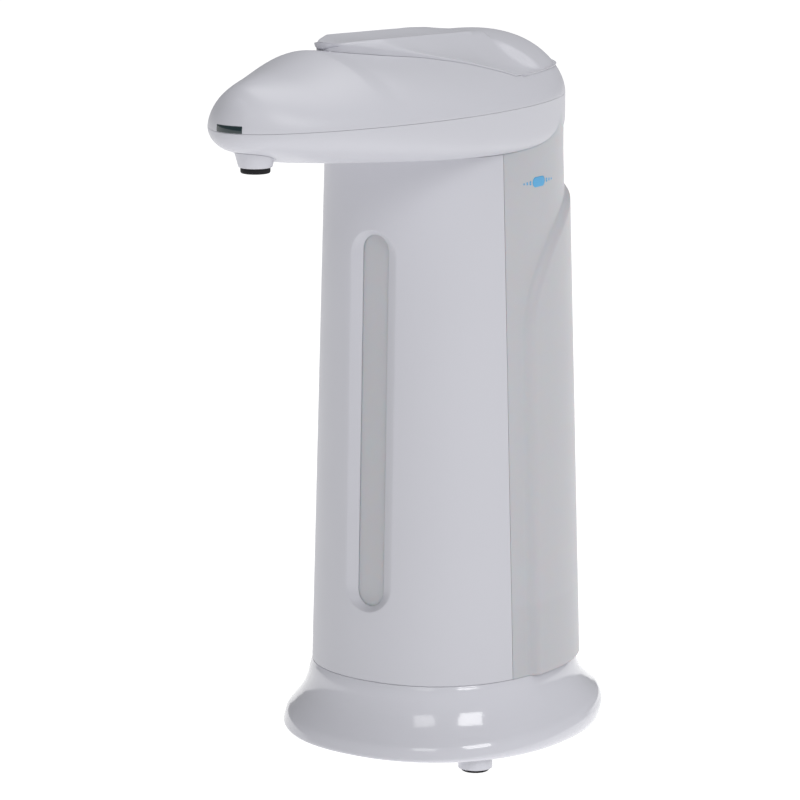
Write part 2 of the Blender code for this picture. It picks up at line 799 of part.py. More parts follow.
def inset_point(angle, height, inset):
    """A point of the column's oval, moved straight inwards."""
    half_x, half_y = column_half(height)
    x, y = oval_point(angle, half_x, half_y)
    lean = Vector((math.copysign(abs(x / half_x) ** (column_power - 1) / half_x, x),
                   math.copysign(abs(y / half_y) ** (column_power - 1) / half_y, y))).normalized()
    return x - lean.x * inset, y - lean.y * inset


def inset_angle_at_x(x, height, inset):
    """The front angle at which the inset oval crosses a place across its width."""
    low, high = -math.pi / 2, -math.pi / 8
    for _ in range(40):
        middle = (low + high) / 2
        if inset_point(middle, height, inset)[0] < x:
            low = middle
        else:
            high = middle
    return high


def tank_outline(height):
    """The tank's outline, counter-clockwise from the front shell's edge on the +X side."""
    edge = column_angle_at_y(front_edge_y + clearance, height)
    right = [edge, column_angle_at_y(arch_start_y, height),
             column_angle_at_y(arch_start_y + arch_bevel, height)]
    rear_count = 16
    last = right[-1]
    for i in range(1, rear_count + 1):
        right.append(last + (math.pi / 2 - last) * i / rear_count)
    rear = right + [math.pi - a for a in reversed(right[:-1])]
    points = [inset_point(a, height, 0.0) for a in rear]
    shallow = front_inset
    deep = front_inset + channel_depth
    outer = inset_angle_at_x(channel_outer_x, height, shallow)
    front = [(edge + (outer - edge) * i / 3, shallow) for i in range(4)]
    outer_deep = inset_angle_at_x(channel_outer_x - channel_slope, height, deep)
    inner_deep = inset_angle_at_x(channel_inner_x + channel_slope, height, deep)
    front += [(outer_deep + (inner_deep - outer_deep) * i / 2, deep) for i in range(3)]
    inner = inset_angle_at_x(channel_inner_x, height, shallow)
    front += [(inner + (-math.pi / 2 - inner) * i / 3, shallow) for i in range(4)]
    front_right = [inset_point(a, height, d) for a, d in front]
    front_left = [(-x, y) for x, y in front_right]
    return points + front_left + front_right[-2::-1]


def arch_height(y, shift):
    """The raised panel's upper edge over a place on the side; shift moves it inwards."""
    start = arch_start_y + shift
    share = (arch_end_y - y) / (arch_end_y - start)
    if share >= 1.0:
        return None
    rise = arch_rise - shift
    return arch_spring_height + rise * (1 - max(0.0, share) ** arch_power) ** (1 / arch_power)



def make_tank():
    floor_low = tank_floor_top - tank_floor_thickness

    def level(points, height):
        return [(x, y, height) for x, y in points]

    def walls(height, inset):
        outline = tank_outline(height)
        return offset_outline(outline, [-inset] * len(outline))

    spring = tank_outline(arch_spring_height)
    flat_step = arch_bevel / 2
    upper, lower, raised = [], [], []
    for i, (x, y) in enumerate(spring):
        over = arch_height(y, 0.0)
        inside = arch_height(y, arch_bevel)
        upper.append(arch_spring_height if over is None else over)
        lower.append(arch_spring_height - flat_step if inside is None else inside)
        raised.append(0.0 if over is None or y < arch_start_y + arch_bevel / 2 else arch_proud)
        if inside is None and over is not None and y > arch_start_y + arch_bevel / 2:
            lower[-1] = arch_spring_height
    ring_upper, ring_lower = [], []
    for i in range(len(spring)):
        ring_upper.append((*tank_outline(upper[i])[i], upper[i]))
        bulged = offset_outline(tank_outline(lower[i]), raised)
        ring_lower.append((*bulged[i], lower[i]))
    foot = offset_outline(tank_outline(column_floor), raised)
    rings = [level(walls(tank_floor_top, tank_wall), tank_floor_top),
             level(walls(body_blank_top, tank_wall), body_blank_top),
             level(tank_outline(body_blank_top), body_blank_top), ring_upper, ring_lower,
             level(foot, column_floor), level(walls(column_floor, tank_wall),
                                              column_floor), level(walls(floor_low, tank_wall), floor_low)]
    tank = loft("tank", rings)
    bore(tank, head_envelope("tank_top_cutter"))
    bore(tank, block("tank_rear_top_cutter", (-head_half_width, tank_rear_top_y,
                                              underside_rear_height - clearance),
                     (head_half_width, head_rear_reach + overrun, body_blank_top + overrun)))
    bore(tank, cylinder("tank_outlet_cutter", nipple_radius + clearance, floor_low - overrun,
                        tank_floor_top + overrun,
                        (port_x, port_y), 16))
    door_half = (channel_outer_x - channel_inner_x) / 2
    for name, x in (("hose_door_cutter", hose_x), ("lead_door_cutter", lead_x)):
        bore(tank, block(name, (x - door_half, -column_foot_half_length, column_floor - overrun),
                         (x + door_half, -column_foot_half_length / 2, floor_low - tank_floor_thickness)))
    keep(tank, milky_clear)


# Head

def bezier(t, a, b, c, d):
    return a * (1 - t) ** 3 + 3 * b * t * (1 - t) ** 2 + 3 * c * t ** 2 * (1 - t) + d * t ** 3


def head_stations():
    """Half width and place along Y of the head's outline, from the nose to the rear."""
    def nose_at(t):
        return (bezier(t, 0.0, nose_roundness, head_half_width, head_half_width),
                bezier(t, -nose_reach, -nose_reach, head_widest_y - head_side_run, head_widest_y))
    low, high = 0.0, 1.0
    for _ in range(40):
        middle = (low + high) / 2
        if nose_at(middle)[1] < kink_y:
            low = middle
        else:
            high = middle
    kink_t = high
    before = nose_steps // 2
    ts = [kink_t * (i / before) ** nose_station_power for i in range(before)]
    ts += [kink_t + (1 - kink_t) * i / (nose_steps - before) for i in range(nose_steps - before + 1)]
    stations = [nose_at(t) for t in ts]
    for i in range(1, rear_steps + 1):
        a = math.pi / 2 * i / rear_steps
        stations.append(
                (head_half_width * math.cos(a) ** (2 / head_rear_power) if i < rear_steps else 0.0,
                head_widest_y + (head_rear_reach
                - head_widest_y) * math.sin(a) ** (2 / head_rear_power)))
    return stations


outline_cache = head_stations()


def smooth_step(value):
    value = max(0.0, min(1.0, value))
    return value * value * (3 - 2 * value)


def crown_top(y):
    """Height of the head's upper surface on its middle line."""
    rise = crown_height - head_seam_height
    if y < kink_y:
        u = max(0.0, (y + nose_reach) / (kink_y + nose_reach))
        rounding = math.sqrt(max(0.0, 1 - (1 - min(u / nose_round_run_share, 1.0)) ** 2))
        share = nose_round_share * rounding + (1 - nose_round_share) * u
        return head_seam_height + (kink_height - head_seam_height) * share
    if y < lid_front_y:
        return kink_height + (crown_height - kink_height) * (y - kink_y) / (lid_front_y - kink_y)
    if y > crown_fall_y:
        u = min(1.0, (y - crown_fall_y) / (head_rear_reach - crown_fall_y))
        return head_seam_height + rise * (1 - u ** crown_fall_power) ** (1 / crown_fall_power)
    return crown_height


def crown_power(y):
    share = smooth_step((y - crown_power_from_y) / (crown_power_to_y - crown_power_from_y))
    return crown_nose_power + share * (crown_rear_power - crown_nose_power)


def underside(y):
    """Height of the head's lower surface on its middle line."""
    marks = ((-nose_reach, head_seam_height), (underside_nose_y, underside_nose_height),
             (underside_front_y, underside_front_height),
             (underside_column_y, underside_column_height), (0.0, underside_column_height),
             (underside_rear_y, underside_rear_height), (head_rear_reach, head_seam_height))
    if y <= underside_nose_y:
        u = (y + nose_reach) / (underside_nose_y + nose_reach)
        return head_seam_height + (underside_nose_height
                - head_seam_height) * math.sqrt(max(0.0, 1 - (1 - u) ** 2))
    if y >= underside_rear_y:
        u = (y - underside_rear_y) / (head_rear_reach - underside_rear_y)
        return head_seam_height + (underside_rear_height
                - head_seam_height) * math.sqrt(max(0.0, 1 - u ** 2))
    for (y0, z0), (y1, z1) in zip(marks, marks[1:]):
        if y0 <= y <= y1:
            return z0 + (z1 - z0) * (y - y0) / (y1 - y0)
    return head_seam_height


def underside_power(y):
    share = smooth_step((y - underside_front_y) / (underside_column_y - underside_front_y))
    return underside_nose_power + share * (underside_column_power - underside_nose_power)


def head_sections(height_at, power_at, stations):
    """Arches across the head, one for each station, from the +X seam over to the -X seam."""
    rings = []
    for half_width, y in stations:
        power = power_at(y)
        rise = height_at(y) - head_seam_height
        ring = []
        for i in range(section_steps + 1):
            a = math.pi * i / section_steps
            x, lift = oval_point(a, half_width, 1.0, power)
            ring.append((x, y, head_seam_height + rise * lift))
        rings.append(ring)
    return rings


def head_envelope(name):
    """The head's lower half as a solid, lowered by the clearance, to trim what meets it from below."""
    rings = head_sections(underside, underside_power, head_stations())
    drop = [[(x, y, z - clearance) for x, y, z in ring] for ring in rings]
    solid = loft(name, drop, wrap=True, cap_first=False, cap_last=False)
    return solid


def head_half(name, height_at, power_at, side):
    """One of the head's two shells, flat at the seam; side -1 is the lower one and 1 the upper one."""
    base = head_seam_height + side * clearance / 2
    outline = outline_cache + [(-x, y) for x, y in outline_cache[-2:0:-1]]
    inner = offset_outline(outline, [-head_wall] * len(outline))[:len(outline_cache)]
    rings = []
    for (half, y), (inner_half, inner_y) in zip(outline_cache, inner):
        rise = height_at(y) - base
        if rise * side < 0.0:
            rise = 0.0
        inner_rise = max(abs(rise) - head_wall, abs(rise) * thin_share) * side
        ring = []
        for width, place, lift in ((half, y, rise), (inner_half, inner_y, inner_rise)):
            arch = []
            for i in range(section_steps + 1):
                x, up = oval_point(math.pi * i / section_steps, max(width, 0.0), 1.0, power_at(y))
                arch.append((x, place, base + lift * up))
            ring += arch if lift is rise else arch[::-1]
        rings.append(ring)
    return loft(name, rings, cap_first=False, cap_last=False)


def make_head_lower():
    shell = head_half("head_lower_shell", underside, underside_power, -1)
    bore(shell, cylinder("filler_way_cutter", filler_radius + clearance, underside_column_height - overrun,
                         head_seam_height, (0.0, filler_centre_y), 32))
    bore(shell, cylinder("spout_way_cutter", spout_top_radius - spout_lip + clearance,
                         underside_front_height - overrun,
                         head_seam_height, (0.0, spout_y), 24))
    for name, x, y, radius in (("hose_way_cutter", *riser_place(underside_column_height), hose_radius),
                               ("lead_way_cutter", -hose_x, riser_place(underside_column_height)[1],
                                3 * lead_radius)):
        bore(shell, cylinder(name, radius + 2 * clearance, underside_column_height - overrun,
                             head_seam_height,
                             (x, y), 16))
    for i, (x, y) in enumerate(deck_posts):
        foot = underside_surface(x, y) + head_wall / 2
        bore(shell, cylinder("deck_post_%d" % i, board_post_radius, foot, deck_height - clearance, (x, y),
                             12), "UNION")
    for i, (x, y) in enumerate(board_posts()):
        foot = underside_surface(x, y) + head_wall / 2
        bore(shell, cylinder("board_post_%d" % i, board_post_radius, foot, board_height - clearance,
                             (x, y), 12), "UNION")
    bore(shell, block("sensor_rib", (-sensor_board_size[0] / 2, sensor_board_y - board_thickness,
                                     underside(sensor_board_y) + head_wall),
                      (sensor_board_size[0] / 2, sensor_board_y + board_thickness,
                       sensor_board_low - clearance)), "UNION")
    keep(shell, satin_white)



def riser_place(height):
    """Where the hose runs in its channel at a height."""
    return inset_point(inset_angle_at_x(hose_x, height, riser_inset), height, riser_inset)


def underside_surface(x, y):
    """Height of the head's lower surface over any place inside its outline."""
    power = underside_power(y)
    share = min(1.0, abs(x) / max(head_half_at(y), clearance))
    return head_seam_height + (underside(y) - head_seam_height) * (1 - share ** power) ** (1 / power)


def board_posts():
    half_x, half_y = main_board_size[0] / 2 - 2 * board_post_radius, main_board_size[
            1] / 2 - 2 * board_post_radius
    return [(sx * half_x, main_board_y + sy * half_y) for sx in (-1, 1) for sy in (-1, 1)]


def window_block(name, gap):
    """The sensor window's block; gap makes it into the cutter for its opening."""
    half = window_half_width + gap
    low = head_seam_height + clearance / 2
    return block(name, (-half, -nose_reach - overrun, low - gap * overrun / clearance),
                 (half, -nose_reach + window_depth + gap * overrun / clearance, window_high + gap))


def crown_solid(name):
    """The head's upper half as a solid."""
    return loft(name, head_sections(crown_top, crown_power, outline_cache), wrap=True, cap_first=False,
                cap_last=False)


def crown_surface(x, y):
    """Height of the head's upper surface over any place inside its outline."""
    half_width = head_half_at(y)
    power = crown_power(y)
    share = min(1.0, abs(x) / max(half_width, clearance))
    return head_seam_height + (crown_top(y) - head_seam_height) * (1 - share ** power) ** (1 / power)


def head_half_at(y):
    for (w0, y0), (w1, y1) in zip(outline_cache, outline_cache[1:]):
        if y0 <= y <= y1:
            return w0 + (w1 - w0) * (y - y0) / max(y1 - y0, clearance / 100)
    return 0.0


def leaf_half_width(y):
    """The lid's half width along its leaf, ahead of its corner."""
    along = (y - lid_front_y) / (lid_corner_y - lid_front_y)
    corner = seam_half_width(lid_corner_y)
    for (a, low), (b, high) in zip(lid_leaf_shares, lid_leaf_shares[1:]):
        if a <= along <= b:
            return corner * (low + (high - low) * (along - a) / (b - a))
    return corner


def seam_half_width(y):
    """Half width of the crown at the height where the lid's rear part meets the head."""
    rise = crown_top(y) - head_seam_height
    share = (lid_seam_height - head_seam_height) / max(rise, clearance)
    if share >= 1.0:
        return 0.0
    power = crown_power(y)
    return head_half_at(y) * (1 - share ** power) ** (1 / power)


def make_head_upper():
    shell = head_half("head_upper_shell", crown_top, crown_power, 1)
    bore(shell, window_block("window_cutter", clearance))
    top = crown_height + overrun
    bore(shell, block("lid_seam_cutter", (-head_half_width - overrun, lid_corner_y,
                                          lid_seam_height - clearance / 2),
                      (head_half_width + overrun, head_rear_reach + overrun, top)))
    leaf = [(leaf_half_width(lid_front_y) + clearance, lid_front_y - clearance)]
    for share, _ in lid_leaf_shares:
        y = lid_front_y + (lid_corner_y - lid_front_y) * share
        leaf.append((max(leaf_half_width(y), lid_front_corner) + clearance, y))
    leaf.append((leaf[-1][0], lid_corner_y + clearance))
    outline = leaf + [(-x, y) for x, y in reversed(leaf)]
    rings = [[(x, y, z) for x, y in outline] for z in (lid_seam_height - overrun, top)]
    bore(shell, loft("leaf_cutter", rings))
    half, foot = hinge_barrel_radius / 2, -hinge_way_radius - hinge_barrel_radius
    outline = barrel_outline(*shell_barrel_degrees,
                             ((-half, foot), (hinge_sole_reach, foot), (hinge_sole_reach, foot + 2 * half),
                              (half, foot + 2 * half)))
    near, far = hinge_split + clearance / 2, hinge_reach
    hinge_barrels(shell, "shell_barrel", ((near, far), (-far, -near)), outline)
    keep(shell, satin_white)



def barrel_outline(first_degrees, last_degrees, foot):
    """Outline of a hinge barrel seen along its pin, from one angle round to another and out to its foot."""
    points = []
    for i in range(barrel_steps + 1):
        turn = math.radians(first_degrees + (last_degrees - first_degrees) * i / barrel_steps)
        points.append((hinge_y + hinge_barrel_radius * math.cos(turn),
                       hinge_height + hinge_barrel_radius * math.sin(turn)))
    return points + [(hinge_y + y, hinge_height + z) for y, z in foot]


def hinge_barrels(piece, name, spans, outline):
    """Clears the hinge line out of a piece's rim, then gives it its own barrels."""
    centre = (hinge_y, hinge_height)
    bore(piece, cylinder(name + "_way", hinge_way_radius, -hinge_way_reach, hinge_way_reach, centre, 20,
                         "X"))
    barrels = bmesh.new()
    for i, (x0, x1) in enumerate(spans):
        barrel = loft("%s_%d" % (name, i), [[(x, y, z) for y, z in outline] for x in (x0, x1)])
        barrels.from_mesh(barrel.data)
        bpy.data.objects.remove(barrel)
    bore(piece, from_bmesh(name, barrels), "UNION")
    bore(piece, cylinder(name + "_bore", hinge_pin_radius + pin_play, -hinge_way_reach, hinge_way_reach,
                         centre, 16, "X"))


# Lid

def lid_half_width(y):
    return leaf_half_width(y) if y < lid_corner_y else seam_half_width(y)


def lid_edge_height(x, y):
    return max(lid_seam_height, crown_surface(x, y)) if y < lid_corner_y else lid_seam_height


def lid_spine(y):
    """Height of the two ridges beside the dish."""
    if y < crown_fall_y:
        share = (y - lid_front_y) / (crown_fall_y - lid_front_y)
        return lid_nose_height + (lid_ridge_height - lid_nose_height) * share
    return head_seam_height + (crown_top(y) - head_seam_height) * (lid_ridge_height
            - head_seam_height) / (crown_height - head_seam_height)


def lid_surface(share, y):
    """The lid's outer surface; share runs from -1 at one edge to 1 at the other."""
    half = lid_half_width(y)
    x = share * half
    edge = lid_edge_height(half, y) + lid_lip
    spine = lid_spine(y)
    ridge_share = min(lid_ridge_corner_share, lid_ridge_half_width / max(half, clearance))
    a = abs(share)
    front = smooth_step((y - lid_front_y) / (lid_ridge_half_width * 3))
    if a > ridge_share:
        out = (1 - a) / (1 - ridge_share)
        scooped = edge + (spine - edge) * out ** lid_flank_power
        blunt = spine - (spine - edge) * (1 - out) ** 3
        height = blunt + (scooped - blunt) * front
    else:
        behind = 1 - smooth_step((y - crown_fall_y) / (lid_shoulder_y - crown_fall_y))
        height = spine - lid_dish_depth * (1 - (a / ridge_share) ** 2) * front * behind
    dome = max(crown_surface(x, y) + lid_dome_proud, edge + lid_dome_proud * (1 - share ** 2))
    shoulder = smooth_step((y - lid_shoulder_y) / lid_shoulder_run)
    return x, y, height + (dome - height) * shoulder


def ridge_share_at(y):
    return min(lid_ridge_corner_share, lid_ridge_half_width / max(lid_half_width(y), clearance))


def lid_columns(y):
    """Places across the lid, as shares of its half width, with one on each ridge."""
    ridge = ridge_share_at(y)
    flank = [1 - (1 - ridge) * i / flank_columns for i in range(flank_columns)]
    dish = [ridge - ridge * i / dish_columns for i in range(dish_columns + 1)]
    right = flank + dish
    return right + [-a for a in reversed(right[:-1])]


def lid_section(y, hollow):
    """A closed section across the lid: over the top, round one rim, back inside and round the other."""
    half = lid_half_width(y)
    tongue = lid_tongue * (1 - smooth_step((y - lid_corner_y + 3 * overrun) / (2 * overrun)))
    rim = lid_edge_height(half, y) + clearance / 2 - tongue
    rim_width = min(lid_wall, half / 2)
    shares = lid_columns(y)
    section = [(half, y, rim)] + [lid_surface(a, y) for a in shares] + [(-half, y, rim)]
    section.append((rim_width - half, y, rim))
    for a in reversed(shares):
        x = a * (half - rim_width)
        top = lid_surface(x / half, y)[2] - lid_wall
        section.append(
                (x, y, max(top, rim + clearance / 2) if hollow else rim + clearance / 2 * (1 - a ** 2)))
    section.append((half - rim_width, y, rim))
    return section


def make_lid():
    front_rows = [lid_front_y + (lid_corner_y - lid_front_y) * a for a in lid_row_shares]
    last = lid_rear_y() - lid_wall / 6
    rear_start = lid_shoulder_y + lid_shoulder_run
    rear_end = hinge_y - hinge_way_radius - lid_wall
    rows = front_rows + [(lid_corner_y + lid_shoulder_y) / 2, lid_shoulder_y,
                         (lid_shoulder_y + rear_start) / 2, rear_start]
    rows += [rear_start + (rear_end - rear_start) * math.sin(math.pi / 2 * i / lid_rear_rows)
            for i in range(1, lid_rear_rows + 1)]
    solid_ends = 3
    sections = [lid_section(y, i >= solid_ends) for i, y in enumerate(rows)]
    sections.insert(solid_ends, lid_section(rows[solid_ends], False))
    sections.append(lid_section(rear_end, False))
    sections += [lid_section(rear_end + (last - rear_end) * share, False) for share in lid_end_shares]
    lid = loft("refill_lid", sections, strips=True)
    web = -hinge_way_radius - hinge_barrel_radius
    outline = barrel_outline(*lid_barrel_degrees, ((web, hinge_barrel_radius * web_shares[0]),
                                                   (web, hinge_barrel_radius * web_shares[1])))
    half = hinge_split - clearance / 2
    hinge_barrels(lid, "lid_barrel", ((-half, half),), outline)
    keep(lid, satin_white, pivot=(0.0, hinge_y, hinge_height))


def lid_rear_y():
    """Where the crown falls to the lid's seam behind."""
    low, high = crown_fall_y, head_rear_reach
    for _ in range(40):
        middle = (low + high) / 2
        if crown_top(middle) > lid_seam_height:
            low = middle
        else:
            high = middle
    return low


# Filler deck, funnel, seal

def level_half_width(y, height):
    """Half width of the head at a height above its seam."""
    rise = crown_top(y) - head_seam_height
    share = (height - head_seam_height) / max(rise, clearance)
    if share >= 1.0:
        return 0.0
    power = crown_power(y)
    return head_half_at(y) * (1 - share ** power) ** (1 / power)


def make_filler():
    top = deck_height + deck_thickness
    low_y, high_y = deck_front_y, head_rear_reach - deck_rear_inset
    side = []
    for i in range(25):
        y = low_y + (high_y - low_y) * math.sin(math.pi / 2 * i / 24)
        side.append((max(level_half_width(y, top) - deck_inset, deck_inset / 2), y))
    outline = side + [(-x, y) for x, y in reversed(side)]
    deck = loft("filler_deck", [[(x, y, z) for x, y in outline] for z in (deck_height, top)])
    place = (0.0, filler_centre_y)
    bore(deck, cylinder("deck_hole_cutter", filler_radius + clearance, deck_height - overrun,
                        top + overrun, place, 32))
    bevel(deck, deck_thickness / 4, 1)
    keep(deck, satin_white)
    rim = top + clearance
    flange = rim + funnel_flange_height
    foot = top - funnel_drop
    profile = [(filler_radius - funnel_wall, flange), (filler_radius + funnel_flange, flange),
            (filler_radius + funnel_flange, rim), (filler_radius, rim), (filler_radius,
            deck_height - overrun), (filler_radius - funnel_taper, foot),
            (filler_radius - funnel_taper - funnel_wall, foot), (filler_radius - funnel_wall,
            deck_height - overrun)]
    keep(turned("filler_funnel", profile, place, 32), gear_nylon)
    low = flange + clearance
    ring = [(filler_radius, low + seal_height), (filler_radius + seal_width, low + seal_height),
            (filler_radius + seal_width, low), (filler_radius, low)]
    keep(turned("filler_seal", ring, place, 32), black_rubber)


def make_hinge_pin():
    keep(cylinder("lid_hinge_pin", hinge_pin_radius, -hinge_reach, hinge_reach, (hinge_y, hinge_height),
                  16, "X"), bright_steel)


# Spout, tip, window, boards

def make_nose_pieces():
    place = (0.0, spout_y)
    top = spout_flange_height + spout_lip
    plug = spout_top_radius - spout_lip
    seat = hose_radius + clearance / 2
    socket = tip_stem_radius + clearance / 2
    tip_top = spout_foot_height + tip_stem_length
    seat_low = top - spout_lip - clearance
    profile = ((tip_bore_radius, seat_low), (seat, seat_low), (seat, top), (plug + spout_lip / 2, top),
            (plug + spout_lip / 2, spout_flange_height), (plug, spout_flange_height), (plug,
            None), (spout_top_radius, None), (spout_foot_radius, spout_foot_height),
            (socket, spout_foot_height), (socket, tip_top), (tip_bore_radius, tip_top))
    rings = []
    for radius, height in profile:
        ring = []
        for i in range(round_steps):
            x = radius * math.cos(2 * math.pi * i / round_steps)
            y = spout_y + radius * math.sin(2 * math.pi * i / round_steps)
            ring.append((x, y, underside_surface(x, y) - clearance if height is None else height))
        rings.append(ring)
    spout = loft("spout", rings, join_ends=True)
    keep(spout, satin_white)
    stem_top = spout_foot_height + tip_stem_length - clearance
    brim = spout_foot_height - clearance
    profile = [(tip_bore_radius, stem_top), (tip_stem_radius, stem_top), (tip_stem_radius, brim),
            (tip_radius, brim), (tip_radius, tip_height + pad_edge), (tip_radius - pad_edge,
            tip_height), (tip_bore_radius, tip_height)]
    keep(turned("nozzle_tip", profile, place, 24), black_rubber)
    window = window_block("sensor_window", 0.0)
    bore(window, crown_solid("window_front_cutter"), "INTERSECT")
    keep(window, dark_window)
    half_x, half_y = main_board_size[0] / 2, main_board_size[1] / 2
    board = block("main_board", (-half_x, main_board_y - half_y, board_height),
                  (half_x, main_board_y + half_y, board_height + board_thickness))
    keep(board, board_green)
    keep(block("sensor_board", (-sensor_board_size[0] / 2, sensor_board_y, sensor_board_low),
               (sensor_board_size[0] / 2, sensor_board_y + board_thickness,
                sensor_board_low + sensor_board_size[1])), board_green)
    eye_height = (head_seam_height + window_high) / 2
    eye_rear = sensor_board_y - clearance
    for name, side in (("infrared_emitter", -1), ("infrared_receiver", 1)):
        keep(cylinder(name, eye_radius, eye_rear - eye_length, eye_rear,
                      (side * eye_spacing / 2, eye_height), 16, "Y"), dark_window)


def make_hoses():
    low, high = riser_place(tank_floor_top), riser_place(underside_column_height)
    outlet = pump_front_y - nipple_length - clearance
    port = drive_height - pump_outlet_drop
    bend_y = outlet - 2 * hose_radius
    channel = riser_place(port)
    run = spout_flange_height + hose_bend + clearance
    wire("delivery_hose", [(port_x, outlet, port), (port_x, bend_y, port), (hose_x, bend_y, port),
            (*channel, port), (*low, tank_floor_top), (*high, underside_column_height), (*high,
            hose_run_height), (0.0, main_board_y, hose_run_height),
            (0.0, main_board_y - main_board_size[1] / 2, hose_run_height), (0.0,
            spout_y + 2 * hose_bend, run), (0.0, spout_y, run),
            (0.0, spout_y, spout_flange_height + spout_lip / 2)], hose_radius, clear_hose)
    for name, side, start in (("power_lead", -1, True), ("motor_lead", 1, False)):
        shift = side * (lead_radius + clearance)
        above = [(-x - shift, y) for x, y in (low, high)]
        up = [(*above[0], tank_floor_top), (*above[1], underside_column_height),
              (*above[1], lead_turn_height)]
        end_x, end_y = -lead_radius - shift, main_board_y + main_board_size[1] / 2 - lead_radius * 4
        end = [(end_x, end_y, lead_turn_height), (end_x, end_y, board_height - clearance)]
        if start:
            x = above[0][0]
            below = [(x, -lead_hole_y, tray_inner_top), (x, -lead_hole_y, lead_floor),
                     (above[0][0], -lead_front_y, lead_floor)]
        else:
            motor_end = motor_rear_y() + clearance
            below = [(motor_x(), motor_end, drive_height + motor_radius / 2),
                    (motor_x(), motor_end + hose_bend, drive_height + motor_radius / 2), (lead_side_x,
                    motor_end + hose_bend, drive_height + motor_radius / 2),
                    (lead_side_x, -lead_hole_y + hose_bend,
                    lead_floor + 3 * lead_radius),
                    (above[0][0], -lead_hole_y, lead_floor + 3 * lead_radius), (above[0][0],
                    -lead_front_y, lead_floor + 3 * lead_radius)]
        wire(name, below + up + end, lead_radius, lead_red, 1)


# Pump bay

def motor_x():
    return wheel_x - gear_module * (pinion_teeth + wheel_teeth) / 2


def motor_rear_y():
    return motor_front_y + motor_length


def involute_outline(teeth, module, first_tooth):
    """A spur gear's outline, with one tooth centred on the given angle."""
    pitch = module * teeth / 2
    base = pitch * math.cos(math.radians(pressure_degrees))
    tip = pitch + module * addendum_share
    root = pitch - module * dedendum_share
    lean = math.tan(math.radians(pressure_degrees)) - math.radians(pressure_degrees)
    half = math.pi / (2 * teeth) * (1 - tooth_play_share) + lean
    flank = []
    for i in range(flank_steps + 1):
        r = max(base, root) + (tip - max(base, root)) * i / flank_steps
        roll = math.sqrt(max(0.0, (r / base) ** 2 - 1))
        flank.append((r, half - (roll - math.atan(roll))))
    if root < base:
        flank.insert(0, (root, flank[0][1]))
    points = []
    for k in range(teeth):
        centre = first_tooth + 2 * math.pi * k / teeth
        for r, a in flank:
            points.append((r * math.cos(centre - a), r * math.sin(centre - a)))
        for r, a in reversed(flank):
            points.append((r * math.cos(centre + a), r * math.sin(centre + a)))
    return points


def gear(name, teeth, module, first_tooth, x, low, high, bore_radius=0.0, shaft=None):
    """A gear on an axis along Y at the drive height; shaft adds a bar from one depth to another."""
    outline = involute_outline(teeth, module, first_tooth)
    piece = loft(name, [[(x + px, y, drive_height + pz) for px, pz in outline] for y in (low, high)])
    if shaft is not None:
        bore(piece, cylinder(name + "_shaft", shaft_radius, shaft[0], shaft[1], (x, drive_height), 16,
                             "Y"), "UNION")
    if bore_radius > 0.0:
        bore(piece, cylinder(name + "_bore", bore_radius, low - overrun, high + overrun, (x, drive_height),
                             16, "Y"))
    keep(piece, gear_nylon, pivot=(x, (low + high) / 2, drive_height))


